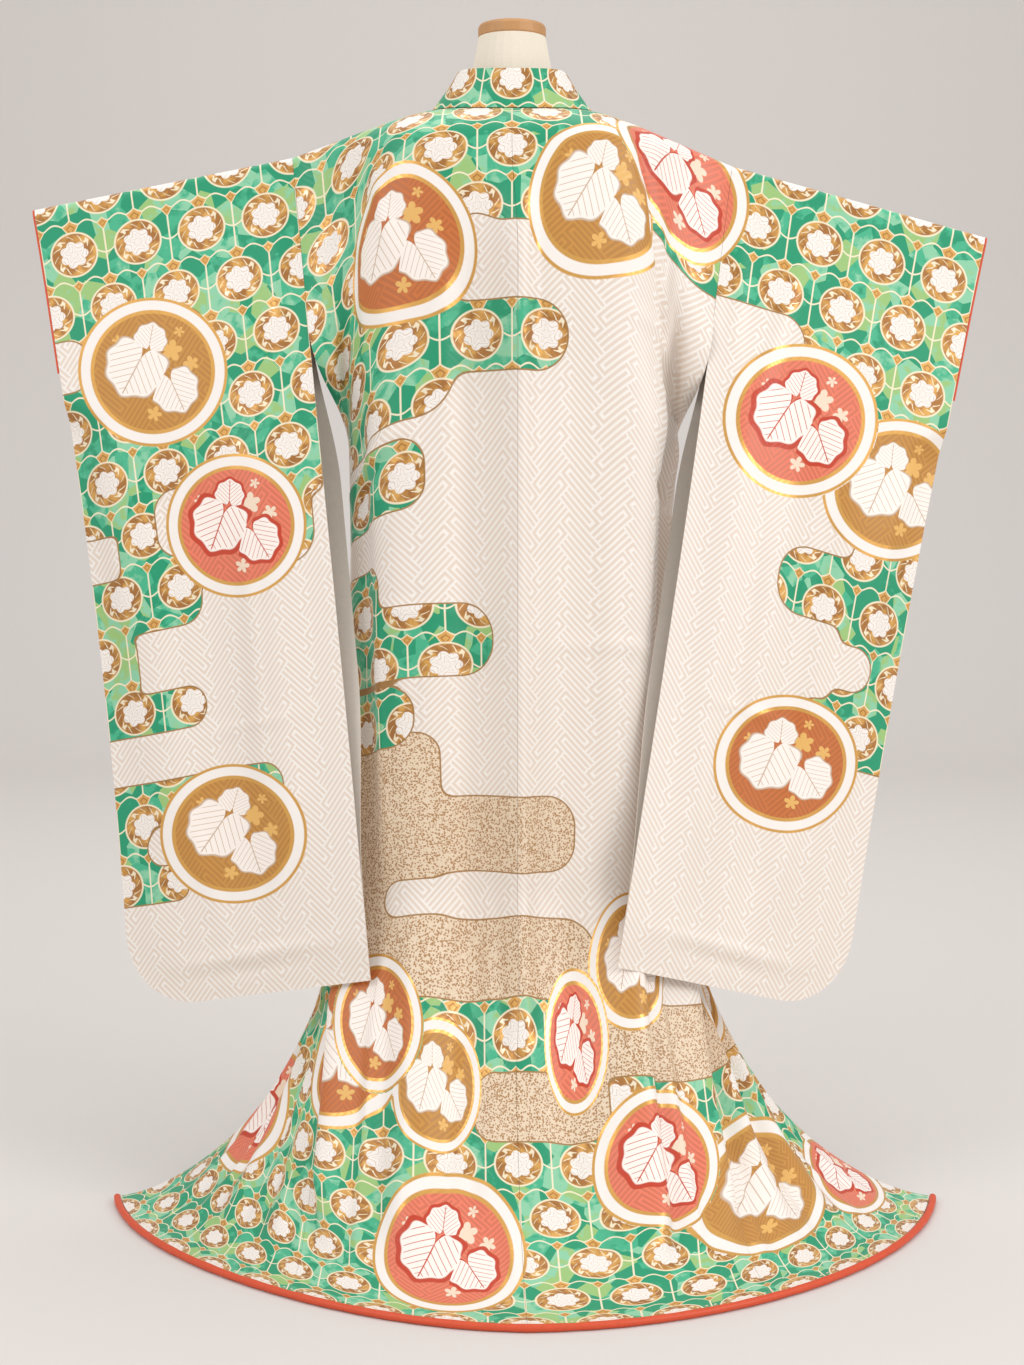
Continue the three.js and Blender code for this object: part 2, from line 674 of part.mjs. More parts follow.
function welded(geometry) {
  const bare = geometry.clone();
  bare.deleteAttribute("normal");
  bare.deleteAttribute("uv");
  return mergeVertices(bare, 1e-4);
}

const wasm = await Module();
wasm.setup();

function manifold(geometry) {
  const merged = welded(geometry);
  return new wasm.Manifold(
    new wasm.Mesh({
      numProp: 3,
      vertProperties: new Float32Array(merged.getAttribute("position").array),
      triVerts: new Uint32Array(merged.index.array),
    }),
  );
}

// The torso, bored for the two rods.
function torso() {
  let body = manifold(loft(FORM.map(ring)));
  for (const name of ["left", "right"]) {
    body = body.subtract(manifold(rodGeometry(name, ROD_RADIUS + SOCKET_GAP, SOCKET_GAP)));
  }
  const { vertProperties, triVerts } = body.getMesh();
  return solid([...vertProperties], [...triVerts]);
}

function lathe(profile, segments) {
  return new THREE.LatheGeometry(
    profile.map(([radius, z]) => new THREE.Vector2(radius, z)),
    segments,
  ).rotateX(Math.PI / 2);
}

const FORM_BOTTOM = FORM[0].z;
const FORM_TOP = FORM.at(-1).z;

const cap = lathe(
  [
    [0, FORM_TOP + SOCKET_GAP],
    [CAP_RADIUS - 1, FORM_TOP + SOCKET_GAP],
    [CAP_RADIUS, FORM_TOP + 2],
    [CAP_RADIUS, FORM_TOP + CAP_HEIGHT - 5],
    [CAP_RADIUS - 2, FORM_TOP + CAP_HEIGHT - 1.5],
    [CAP_RADIUS - 6, FORM_TOP + CAP_HEIGHT],
    [0, FORM_TOP + CAP_HEIGHT],
  ],
  28,
);

const base = lathe(
  [
    [0, 0],
    [BASE_RADIUS - 2, 0],
    [BASE_RADIUS, 2],
    [BASE_RADIUS, BASE_HEIGHT - 6],
    [BASE_RADIUS - 6, BASE_HEIGHT],
    [0, BASE_HEIGHT],
  ],
  32,
);

const poleLength = FORM_BOTTOM - BASE_HEIGHT - 2 * SOCKET_GAP;
const pole = new THREE.CylinderGeometry(POLE_RADIUS, POLE_RADIUS, poleLength, 20)
  .rotateX(Math.PI / 2)
  .translate(0, 0, BASE_HEIGHT + SOCKET_GAP + poleLength / 2);

// ---------------------------------------------------------------- the whole

const SILK = { color: 0x7fb29a, roughness: 0.55, metalness: 0 };
const IVORY_SILK = { color: 0xe9e2cf, roughness: 0.55, metalness: 0 };
const RED_SILK = { color: 0xc8452a, roughness: 0.55, metalness: 0 };
const FORM_CLOTH = { color: 0xe3d9c4, roughness: 0.9, metalness: 0 };
const WOOD = { color: 0xb98a55, roughness: 0.5, metalness: 0 };
const STEEL = { color: 0x8d8f92, roughness: 0.35, metalness: 0.9 };

const part = new THREE.Group();

function add(name, geometry, look) {
  const mesh = new THREE.Mesh(geometry, new THREE.MeshStandardMaterial(look));
  mesh.name = name;
  part.add(mesh);
}

for (const name of ["left", "right"]) {
  add(`body_${name}`, body(name), SILK);
  add(`overlap_${name}`, overlap(name), SILK);
  add(`sleeve_${name}`, sleeve(name), SILK);
  add(`cuff_piping_${name}`, cuffPiping(name), RED_SILK);
  add(`spreader_rod_${name}`, rodGeometry(name, ROD_RADIUS, 0), WOOD);
}
add("collar", collar(), IVORY_SILK);
add("hem_roll", hemRoll(), RED_SILK);
add("form_torso", torso(), FORM_CLOTH);
add("form_cap", cap, WOOD);
add("stand_pole", pole, STEEL);
add("stand_base", base, STEEL);

export default part;
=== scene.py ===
# %% [markdown]
# # A furisode on its dress form
# A furisode is the most formal kimono of a young woman: sleeves that reach almost to the floor, a padded
# hem that fans out behind, and silk that is woven, dyed and painted before it is sewn. This one hangs open
# on a dress form with no limbs, with its sleeves held out by rods. The solids already give every panel its
# true place. Here each panel becomes fine cloth, and the design is laid on the flat cut, as it is on the
# real thing.

# %% Load the frame
import bpy
import math
from functools import partial
import numpy as np
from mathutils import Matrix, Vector


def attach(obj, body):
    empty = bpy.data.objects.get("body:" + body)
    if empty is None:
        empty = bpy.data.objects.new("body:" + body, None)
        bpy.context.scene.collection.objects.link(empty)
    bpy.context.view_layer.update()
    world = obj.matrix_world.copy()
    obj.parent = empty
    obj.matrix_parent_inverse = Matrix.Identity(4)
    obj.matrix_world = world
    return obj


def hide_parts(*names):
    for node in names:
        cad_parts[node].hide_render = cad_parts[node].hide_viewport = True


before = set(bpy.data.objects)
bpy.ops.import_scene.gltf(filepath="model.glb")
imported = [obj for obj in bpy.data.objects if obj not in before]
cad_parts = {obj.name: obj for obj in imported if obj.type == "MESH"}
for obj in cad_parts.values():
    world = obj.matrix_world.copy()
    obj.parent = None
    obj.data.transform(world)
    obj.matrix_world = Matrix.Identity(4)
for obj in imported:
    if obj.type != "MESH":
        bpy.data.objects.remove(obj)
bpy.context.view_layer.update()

# %% [markdown]
# ## The camera
# The garment is looked at squarely from behind, from about the height of the hips, with the camera pitched
# down a little so that the train on the floor is seen from above. Colours are shown as they are, so that
# the dyes stay as clear as they are on silk.

# %% Camera
camera = bpy.data.objects.new("camera", bpy.data.cameras.new("camera"))
bpy.context.scene.collection.objects.link(camera)
camera.location = (0, -2.9, 0.95)
camera.rotation_euler = (math.radians(90 - 4.64), 0, 0)
camera.data.sensor_width = 36
camera.data.lens = 55.07
bpy.context.scene.camera = camera
bpy.context.scene.view_settings.view_transform = "Standard"
print("camera at", tuple(camera.location), "with a lens of", camera.data.lens, "mm")

# %% [markdown]
# ## The studio
# A pale floor runs up into a pale wall in one soft bend, far enough off that the garment can be walked
# round. Light comes from a large soft panel on the right, a weaker one on the left, one above, one for the
# wall, and the room itself. One strong lamp would make hard shadows that hide the design. Large panels keep
# the folds gentle.


# %% Floor and backdrop
def backdrop(name):
    near, start, bend, top, half_width = -9.0, 4.8, 2.2, 9.0, 12.0
    profile = [(near, 0.0), (start, 0.0)]
    for turn in np.linspace(0.08, math.pi / 2, 20):
        profile.append((start + bend * math.sin(turn), bend - bend * math.cos(turn)))
    profile.append((start + bend, top))
    mesh = bpy.data.meshes.new(name)
    points = [(x, y, z) for x in (-half_width, half_width) for y, z in profile]
    count = len(profile)
    mesh.from_pydata(points, [], [(i, count + i, count + i + 1, i + 1) for i in range(count - 1)])
    mesh.shade_smooth()
    sweep = bpy.data.objects.new(name, mesh)
    bpy.context.scene.collection.objects.link(sweep)
    return sweep


sweep = backdrop("studio_sweep")
paper = bpy.data.materials.new("studio_paper")
paper.use_nodes = True
paper_shader = paper.node_tree.nodes["Principled BSDF"]
paper_shader.inputs["Base Color"].default_value = (0.69, 0.655, 0.63, 1)
paper_shader.inputs["Roughness"].default_value = 0.9
sweep.data.materials.append(paper)
print(sweep.name, len(sweep.data.polygons), "faces")


# %% Lights
def soft_panel(name, place, target, size, power, colour):
    light = bpy.data.lights.new(name, "AREA")
    light.shape = "RECTANGLE"
    light.size, light.size_y = size
    light.energy = power
    light.color = colour
    panel = bpy.data.objects.new(name, light)
    panel.location = place
    aim = Vector(target) - Vector(place)
    panel.rotation_euler = aim.to_track_quat("-Z", "Y").to_euler()
    bpy.context.scene.collection.objects.link(panel)


soft_panel("panel_left", (-3.0, -2.6, 2.9), (0, 0, 0.9), (2.0, 2.0), 48, (1.0, 1.0, 0.995))
soft_panel("panel_right", (3.4, -2.6, 2.4), (0, 0, 0.8), (2.0, 2.0), 80, (1.0, 1.0, 1.0))
soft_panel("panel_top", (0, 0.6, 4.2), (0, 0, 0), (3.0, 3.0), 45, (1.0, 1.0, 1.0))
soft_panel("panel_wall", (0, 2.6, 4.4), (0, 7.0, 1.6), (3.0, 2.0), 46, (1.0, 0.99, 0.98))
room = bpy.data.worlds.new("room")
room.use_nodes = True
room.node_tree.nodes["Background"].inputs["Color"].default_value = (1.0, 0.99, 0.985, 1)
room.node_tree.nodes["Background"].inputs["Strength"].default_value = 0.72
bpy.context.scene.world = room
print("lights", [light.name for light in bpy.data.lights])

# %% [markdown]
# ## How the cloth hangs
# A furisode is sewn from straight lengths of silk of one loom width, and none of them is cut to the body.
# It could be draped by a cloth simulation, which comes out a little different each time. Here every place
# of the flat cut is asked where it hangs, so two panels that share a seam share its line. "Across" runs
# from the centre back seam round to the front edge, negative on the left half, and "down" runs from the
# shoulder fold to the hem. These are the rules that give the solids their shape, worked out for whole
# arrays of places at once, in millimetres.

# %% Sizes of the cut and of the way it hangs
# The sewn panels, in millimetres.
WALL = 2.0
SEAM = 0.4
BACK_WIDTH, FRONT_WIDTH, OVERLAP_WIDTH = 310.0, 290.0, 170.0
LENGTH = 1720.0
ARMHOLE = 250.0
SLEEVE_WIDTH, SLEEVE_DROP, SLEEVE_CORNER, CUFF_OPENING = 360.0, 1105.0, 105.0, 230.0
SLEEVE_SPREAD = 12.0
# The neck, the collar, the train's sweep, the hem's half circle and the rolls.
NECK_HALF, NECK_DROP, SHOULDER_Z, NECK_ROUND = 112.0, 68.0, 1500.0, 60.0
COLLAR_WIDTH, COLLAR_WALL, COLLAR_GAP, COLLAR_END, NECK_RUN = 55.0, 3.0, 1.4, 850.0, 90.0
FLARE_TOP, FLARE_POWER = 450.0, 0.65
HEM_CENTRE = (18.0, 44.0)
HEM_MIDDLE, HEM_END, HEM_HALF_ANGLE, HEM_TOP = 589.0, 582.0, 78.4, 6.6
ROLL_RADIUS, PIPING_RADIUS, FOLD_RADIUS = 5.0, 1.4, 12.0
OVERLAP_SEAM = BACK_WIDTH + FRONT_WIDTH
OVERLAP_TIP, OVERLAP_FULL = 200.0, 850.0
# How the shoulder's slope levels out, the gathers, and where two sewn layers come together.
LEVELLING, LEVEL_LIFT = 0.75, 12.0
GATHER_START, GATHER_PITCH, SQUARENESS = 300.0, 112.0, 0.05
FOLD_FADE = 150.0
SEWN_HALF = WALL + SEAM / 2
CLOSING = 62.0
STEP = 1.0
# The two faces of the garment, and how deep and how round the cloth lies over the shoulder on each.
BEHIND, BEFORE = -1, 1
SHOULDER_DEPTH = {BEHIND: 118.0, BEFORE: 112.0}
SHOULDER_ROUND = {BEHIND: 62.0, BEFORE: 70.0}
# How evenly the cloth is shared out round the form, and between which places it settles onto it.
EVENING = (0.0745, 0.04)
LEVEL_END = 750.0
SETTLE_REACH = 150.0
SETTLE_BEGINS, SETTLE_ENDS = (20.0, ARMHOLE - 15), (260.0, 430.0)
# How a sleeve's layers part at the open cuff and close lower down, and where its free inner edge swings in.
CUFF_EASE = 90.0
SLACK_FADE, SLACK_KEPT = (350.0, 850.0), 0.22
SWING_FULL, SWING_FADE, SWING_WIDTH = 450.0, (700.0, 1000.0), 130.0
print("half of the hem measures", OVERLAP_SEAM + OVERLAP_WIDTH, "mm on the cut")

# %% [markdown]
# ## The two sides and their creases
# The left sleeve hangs a little higher than the right one, as cloth on a stand always ends up. A crease in
# silk is a soft ridge that comes up, runs along and dies away. It could be sculpted by hand. A short table
# of creases stays on the cut instead, so it moves with the cloth and leads over a seam without a break.

# %% The two sides
SIDES = {
    "left": dict(
        sign=-1, tip_x=653.0, tip_z=1363.0, slope=11.2, drop=1106.0, furi=20.0, hem_dip=25.0,
        inner_lean=0.102, outer_lean=0.113, inner_bow=0.06, outer_bow=0.54,
        inner_tilt=0.163, outer_tilt=0.045,
    ),
    "right": dict(
        sign=1, tip_x=648.0, tip_z=1326.0, slope=15.4, drop=1070.0, furi=16.0, hem_dip=12.0,
        inner_lean=0.153, outer_lean=0.18, inner_bow=-0.12, outer_bow=0.2,
        inner_tilt=0.2, outer_tilt=0.06,
    ),
}
for side in SIDES.values():
    slope = np.radians(side["slope"])
    side["along"] = (np.cos(slope), -np.sin(slope))
    along_x, along_z = side["along"]
    side["seam"] = (side["tip_x"] - SLEEVE_WIDTH * along_x, side["tip_z"] - SLEEVE_WIDTH * along_z)
print("sleeve seams begin at", [np.round(side["seam"], 1).tolist() for side in SIDES.values()])

# How the cloth stands round the form. Each row is a height and the seven columns that are named below it.
GIRTHS = np.array([
    (1300, 232, 148, 128, 10, 90, 160, 0),
    (1100, 226, 150, 135, 15, 90, 156, 9),
    (900, 224, 152, 135, 15, 88, 150, 20),
    (650, 228, 156, 128, 10, 82, 144, 30),
    (450, 238, 165, 118, 5, 74, 138, 34),
], float)
HALF_WIDTH, DEPTH_BEHIND, DEPTH_BEFORE, MIDDLE, SIDE_ANGLE, EDGE_ANGLE, GATHERS = range(1, 8)

# %% Creases
# Across at the crease's top and foot, half width, height, lean, and where it begins and ends down the cut.
BODY_FOLDS = [
    (4, 8, 38, 15, 8, 150, 1330), (-46, -52, 46, -13, 0, 190, 1250), (88, 78, 46, -8, 0, 300, 1120),
    (170, 150, 50, 11, 10, 330, 1080), (160, 232, 30, -12, 0, 12, 420), (236, 226, 34, -22, -8, 260, 1080),
    (-150, -140, 58, 8, 0, 320, 1150), (-222, -214, 46, -11, 0, 360, 1060),
    (140, 156, 52, 24, 24, 1040, 1620), (84, 74, 46, -13, 0, 1020, 1540),
    (-70, -80, 46, -12, 0, 1060, 1540), (-130, -150, 52, 16, 0, 1040, 1600),
    (-240, -262, 48, 20, -26, 1060, 1580), (262, 282, 46, 18, 14, 1060, 1600),
    (-352, -372, 56, 18, 0, 1180, 1640), (378, 404, 56, 18, 0, 1180, 1640),
    (-470, -500, 60, 15, 0, 1200, 1650), (490, 520, 60, 15, 0, 1200, 1650),
]
# Smaller creases that only the cloth has: under the arms, across the back, at the waist and over the train.
BODY_FINE_FOLDS = [
    (296, 282, 44, 13, 6, 205, 385), (262, 276, 24, -7, 0, 235, 410), (318, 330, 40, 10, 0, 215, 380),
    (-292, -284, 34, 9, -4, 215, 360), (-262, -270, 22, -5, 0, 240, 400), (-322, -330, 36, 8, 0, 220, 370),
    (214, 120, 18, 4, 0, 60, 330), (246, 196, 20, -5, 0, 90, 420), (126, 214, 16, 3, 0, 30, 240),
    (-206, -128, 18, 3.5, 0, 70, 320), (-250, -190, 20, -4, 0, 110, 430), (-96, -70, 22, 3, 0, 220, 620),
    (40, 26, 16, 3, 0, 330, 900), (2, 8, 30, 7, 0, 200, 1300), (-62, -66, 38, -8, 0, 260, 1280),
    (118, 132, 20, 4, 0, 520, 1010), (-104, -116, 18, 3.5, 0, 560, 980), (196, 178, 18, -4, 0, 480, 900),
    (-184, -178, 18, 4, 0, 640, 1080), (20, 44, 18, 3, 0, 900, 1240), (-30, -16, 16, -3, 0, 980, 1400),
    (62, 118, 20, 4, 0, 1180, 1560), (-52, -98, 20, 4, 0, 1200, 1580), (196, 236, 22, 6, 6, 1120, 1620),
    (-190, -216, 22, 6, -6, 1140, 1640), (110, 96, 16, -4, 0, 1340, 1660), (-20, 4, 20, 4, 0, 1420, 1690),
    (320, 340, 24, 7, 0, 1200, 1660), (-306, -322, 24, 7, 0, 1200, 1660), (430, 450, 26, 6, 0, 1240, 1660),
    (-420, -440, 26, 6, 0, 1240, 1660), (556, 590, 24, 6, 0, 1260, 1670),
    (-548, -580, 24, 6, 0, 1260, 1670), (640, 680, 26, 5, 0, 1300, 1680),
    (-630, -668, 26, 5, 0, 1300, 1680), (350, 380, 26, 5, 0, 420, 980), (-346, -372, 26, 5, 0, 460, 1000),
    (520, 500, 30, -5, 0, 380, 1100), (-520, -496, 30, -5, 0, 400, 1120),
]
SLEEVE_FINE_FOLDS = {
    "left": [
        (28, 44, 18, 3, 0, 30, 300), (130, 60, 20, 2.5, 0, 60, 330), (120, 136, 22, 2.5, 0, 420, 900),
        (236, 246, 24, -2.5, 0, 300, 820), (330, 316, 18, 2.5, 0, 240, 640),
        (60, 150, 22, 2.5, 0, 760, 1060), (262, 200, 24, 2, 0, 800, 1070),
    ],
    "right": [(24, 40, 18, 3, 0, 30, 320), (120, 70, 20, 3, 0, 50, 360), (110, 128, 22, 3, 0, 400, 880),
              (214, 206, 24, -3, 0, 330, 860), (322, 300, 20, 3, 0, 250, 700), (70, 130, 22, 3, 0, 720, 1040),
              (250, 190, 24, 2.5, 0, 780, 1040)],
}
SLEEVE_FOLDS = {
    "left": [
        (70, 110, 60, 7, 0, 260, 1000), (190, 175, 70, -6, 0, 330, 1040), (290, 270, 60, 5, 0, 240, 980),
    ],
    "right": [
        (60, 90, 55, 8, 0, 200, 980), (150, 170, 60, -7, 0, 260, 1040), (270, 250, 70, 6, 0, 300, 1000),
    ],
}
# Creases that run across: down at the inner and outer end, half width, height, lean, and across from and to.
BODY_CROSS_FOLDS = [
    (516, 490, 14, 8, 0, -300, -105), (542, 512, 12, -6, 0, -290, -110), (446, 432, 66, 11, 0, 150, 318),
    (530, 512, 24, -10, 0, 150, 330), (404, 392, 14, 4, 0, 170, 310), (352, 300, 20, 4, 0, 120, 300),
    (330, 372, 18, 3, 0, -296, -150), (700, 716, 16, 2.5, 0, -220, -30), (760, 744, 18, 2.5, 0, 20, 230),
]
SLEEVE_CROSS_FOLDS = {
    "left": [
        (1046, 1056, 12, 4, 0, 10, 330), (1068, 1078, 12, -3, 0, 20, 320), (742, 752, 12, 2, 0, 20, 250),
    ],
    "right": [
        (1010, 1022, 12, 4, 0, 10, 320), (1032, 1044, 12, -3, 0, 20, 310), (700, 716, 12, 2, 0, 20, 260),
    ],
}
# Place along the collar's seam, and the way the collar stands there: inward, forward and up.
COLLAR_SET = np.array([
    (-90, 0, 13, 52), (-45, 15, 10, 50), (0, 36, 10, 38), (60, 46, 20, 22), (150, 50, 22, 8),
    (300, 51, 18, 0), (850, 49, 22, 0),
], float)
print("creases of the body", len(BODY_FOLDS) + len(BODY_FINE_FOLDS) + len(BODY_CROSS_FOLDS))


# %% Small curves
def smooth(start, end, x):
    t = np.clip((x - start) / (end - start), 0, 1)
    return t * t * (3 - 2 * t)


def mix(a, b, t):
    return a + (b - a) * t


def unit(vectors):
    return vectors / np.maximum(np.linalg.norm(vectors, axis=-1, keepdims=True), 1e-9)


def creases(folds, across, down):
    """Height and sideways lean that a list of creases gives to places of the cut."""
    height = np.zeros(np.broadcast(across, down).shape)
    lean = np.zeros_like(height)
    for top, foot, half, rise, slant, start, end in folds:
        axis = mix(top, foot, np.clip((down - start) / (end - start), 0, 1))
        off = np.clip(np.abs(across - axis) / half, 0, 1)
        fade = min(FOLD_FADE, (end - start) / 2)
        there = smooth(start, start + fade, down) * (1 - smooth(end - fade, end, down))
        share = np.cos(off * np.pi / 2) ** 2 * there
        height += rise * share
        lean += slant * share
    return height, lean


def spans(point_at, across, down, sign):
    """How a face runs at a place, towards its signed across and down, between neighbours a step away."""
    safe = np.maximum(down, STEP)
    along = point_at(across + sign * STEP, safe) - point_at(across - sign * STEP, safe)
    return along, point_at(across, safe + STEP) - point_at(across, safe - STEP)


print("highest crease of the back", creases(BODY_FOLDS, np.arange(-300, 300), 900.0)[0].max().round(1), "mm")


# %% Cloth over the shoulder line
def hang(top_x, top_z, depth, drop, lean, bow, tilt, spread, down):
    """Sideways place, middle, half depth and height of cloth below a fold, and the fold's length."""
    arc = np.pi / 2 * np.sqrt((depth ** 2 + drop ** 2) / 2)
    turn = np.minimum(1, down / arc) * np.pi / 2
    below = np.maximum(0, down - arc)
    x = top_x - lean * down * (1 + bow * (1 - down / SLEEVE_DROP))
    half = depth * np.sin(turn) + spread * smooth(0, ARMHOLE, below)
    return x, -tilt * below, half, top_z - drop * (1 - np.cos(turn)) - below, arc


def shoulder_drop(reach):
    """Share of the shoulder's fall: none over the neck, then a soft bend and a straight slope."""
    def past(place):
        return (np.hypot(place - NECK_HALF, NECK_ROUND) + place - NECK_HALF) / 2

    return (past(reach) - past(0)) / (past(BACK_WIDTH) - past(0))


def back_inner(down):
    """Inner edge of the back: the neck curve, then the centre back seam."""
    neck = NECK_HALF * np.sqrt(np.maximum(0, 1 - (down / NECK_DROP) ** 2))
    return np.where(down < NECK_DROP, neck, SEAM / 2)


def overlap_width(down):
    """The gore's width: nothing at its tip, then widening, then full down to the hem."""
    return OVERLAP_WIDTH * np.clip((down - OVERLAP_TIP) / (OVERLAP_FULL - OVERLAP_TIP), 0, 1)


def girth(column, z):
    return np.interp(-z, -GIRTHS[:, 0], GIRTHS[:, column])


def hem_point(side, across, inset):
    """Place on the floor of the hem, that far inside its edge."""
    part = across / (OVERLAP_SEAM + OVERLAP_WIDTH)
    dip = side["hem_dip"] * np.sin(np.pi * np.clip(part, 0, 1)) ** 1.5
    radius = mix(HEM_MIDDLE, HEM_END, part) - dip - inset
    angle = np.radians(HEM_HALF_ANGLE * part)
    return HEM_CENTRE[0] + side["sign"] * radius * np.sin(angle), HEM_CENTRE[1] - radius * np.cos(angle)


print("share of the shoulder's fall at the side of the neck", shoulder_drop(NECK_HALF).round(2))


# %% The body as it falls from the shoulder
def off_the_shoulder(side, across, down, face):
    """Cloth hanging free of the form, how far out it starts on the shoulder, and how that shifts it down."""
    reach = across
    if face == BEFORE:
        reach = BACK_WIDTH - (across - BACK_WIDTH) * (BACK_WIDTH - NECK_HALF) / FRONT_WIDTH
    past_neck = np.maximum(0, (reach - NECK_HALF) / (BACK_WIDTH - NECK_HALF))
    top_x = np.where(reach <= NECK_HALF, reach, mix(NECK_HALF, side["seam"][0], past_neck))
    top_z = mix(SHOULDER_Z, side["seam"][1], shoulder_drop(reach))
    out = smooth(NECK_HALF, BACK_WIDTH, reach)
    depth = mix(SHOULDER_DEPTH[face], FOLD_RADIUS, out)
    drop = mix(SHOULDER_ROUND[face], FOLD_RADIUS, out)
    x, mid, half, z, arc = hang(top_x, top_z, depth, drop, side["inner_lean"] * out, side["inner_bow"],
                                side["inner_tilt"] * out, SLEEVE_SPREAD * out, down)
    return (x, mid + face * half, z), reach, top_z - SHOULDER_Z - drop + arc


def worn_plan(across, down, high):
    """Where the cloth stands round the form at a height. Its section is rounded, and flatter behind."""
    edge = OVERLAP_SEAM + overlap_width(down)
    side_angle, edge_angle = girth(SIDE_ANGLE, high), girth(EDGE_ANGLE, high)
    before_seam = side_angle * across / BACK_WIDTH
    past_seam = mix(side_angle, edge_angle, (across - BACK_WIDTH) / (edge - BACK_WIDTH))
    even = np.radians(np.where(across <= BACK_WIDTH, before_seam, past_seam))
    angle = even - EVENING[0] * np.sin(2 * even) - EVENING[1] * np.sin(4 * even)
    plan_x = girth(HALF_WIDTH, high) * (np.sin(angle) + SQUARENESS * np.sin(3 * angle)) / (1 - SQUARENESS)
    back = (np.cos(angle) - SQUARENESS * np.cos(3 * angle)) / (1 - SQUARENESS)
    depth = np.where(back > 0, girth(DEPTH_BEHIND, high), girth(DEPTH_BEFORE, high))
    return plan_x, girth(MIDDLE, high) - depth * back


print("the side seam stands", worn_plan(BACK_WIDTH, 500.0, 900.0)[0].round(1), "mm out at the waist")


# %% The body with its sweep and its creases
def body_form(side, across, down, face):
    """Points of one half and the depth of its gathers, with across counted from the centre back."""
    (x, y, z), reach, offset = off_the_shoulder(side, across, down, face)
    level = LEVELLING * (offset - LEVEL_LIFT)
    sweep_start = SHOULDER_Z + offset - level - FLARE_TOP
    swept = np.clip((down - sweep_start) / (LENGTH - sweep_start), 0, 1)
    train = mix(FLARE_TOP, HEM_TOP, np.sin(swept * np.pi / 2))
    z = np.where(swept > 0, train, z - level * smooth(ARMHOLE, LEVEL_END, down))
    high = np.maximum(z, FLARE_TOP)
    plan_x, plan_y = worn_plan(across, down, high)

    outer = smooth(SETTLE_REACH, BACK_WIDTH, reach)
    begins, ends = (mix(middle, far, outer) for middle, far in (SETTLE_BEGINS, SETTLE_ENDS))
    settled = smooth(begins, ends, down)
    x = side["sign"] * mix(x, plan_x, settled)
    y = mix(y, plan_y, settled)
    hem_x, hem_y = hem_point(side, across, 2 * ROLL_RADIUS + SEAM)
    share = (1 - np.cos(swept * np.pi / 2)) ** FLARE_POWER
    point = np.stack([mix(x, hem_x, share), mix(y, hem_y, share), z], -1)
    waves = np.where(across > GATHER_START, np.sin(np.pi * (across - GATHER_START) / GATHER_PITCH) ** 2, 0)
    return point, waves * girth(GATHERS, high) * settled * (1 - smooth(0.05, 0.8, swept))


def body_point(side, across, down, face):
    """The body's face with its creases, for whole arrays of places on one half."""
    sign = side["sign"]

    def form(a, d):
        return body_form(side, a, d, face)[0]

    along, drop = (unit(span) for span in spans(form, across, down, sign))
    outward = unit(np.cross(drop, along))
    point, gather = body_form(side, across, down, face)
    height, lean = creases(BODY_FOLDS + BODY_FINE_FOLDS, sign * across, down)
    ripple, _ = creases(BODY_CROSS_FOLDS, down, sign * across)
    return point + outward * (height + ripple - gather)[..., None] + along * lean[..., None]


def body_outward(side, across, down, face):
    """Directions square to the creased body, away from the form."""
    along, drop = spans(partial(body_point, side, face=face), across, down, side["sign"])
    return unit(np.cross(drop, along))


print("the middle of the back hem hangs at", body_point(SIDES["left"], 0.0, LENGTH, BEHIND).round(1))


# %% The sleeves
def sleeve_length(drop, across):
    """How far down the foot is. Its outer corner is round."""
    past = np.clip(across - (SLEEVE_WIDTH - SLEEVE_CORNER), 0, SLEEVE_CORNER)
    return drop - SLEEVE_CORNER + np.sqrt(SLEEVE_CORNER ** 2 - past ** 2)


def sewn_distance(drop, across, down):
    """How far a place is from the nearest edge where the two layers are sewn together."""
    open_part = CUFF_EASE * (1 - smooth(CUFF_OPENING, CUFF_OPENING + CUFF_EASE, down))
    past_across, past_down = across - (SLEEVE_WIDTH - SLEEVE_CORNER), down - (drop - SLEEVE_CORNER)
    corner = SLEEVE_CORNER - np.hypot(past_across, past_down)
    straight = np.minimum(SLEEVE_WIDTH - across + open_part, drop - down)
    return np.where((past_across > 0) & (past_down > 0), corner, straight)


def sleeve_point(name, across, down, face):
    """A layer's outer face. The layers meet at the sewn edges, and the front one's free edge swings in."""
    side = SIDES[name]
    out = across / SLEEVE_WIDTH
    top_x = side["seam"][0] + across * side["along"][0]
    top_z = side["seam"][1] + across * side["along"][1]
    x, mid, half, z, _ = hang(top_x, top_z, FOLD_RADIUS, FOLD_RADIUS,
                              mix(side["inner_lean"], side["outer_lean"], out),
                              mix(side["inner_bow"], side["outer_bow"], out),
                              mix(side["inner_tilt"], side["outer_tilt"], out), SLEEVE_SPREAD, down)
    slack = mix(1, SLACK_KEPT, smooth(*SLACK_FADE, down))
    full = np.where(half < SEWN_HALF, half, mix(SEWN_HALF, half, slack))
    closed = 1 - smooth(0, CLOSING, sewn_distance(side["drop"], across, down))
    depth = mix(full, SEWN_HALF, closed)
    swing = 0.0
    if face == BEFORE:
        swing = side["furi"] * smooth(ARMHOLE, SWING_FULL, down) * (1 - smooth(*SWING_FADE, down))
        swing = swing * (1 - smooth(0, SWING_WIDTH, across))
    height, _ = creases(SLEEVE_FOLDS[name] + SLEEVE_FINE_FOLDS[name], across, down)
    ripple, _ = creases(SLEEVE_CROSS_FOLDS[name], down, across)
    return np.stack([side["sign"] * (x - swing), mid + face * depth - height - ripple, z], -1)


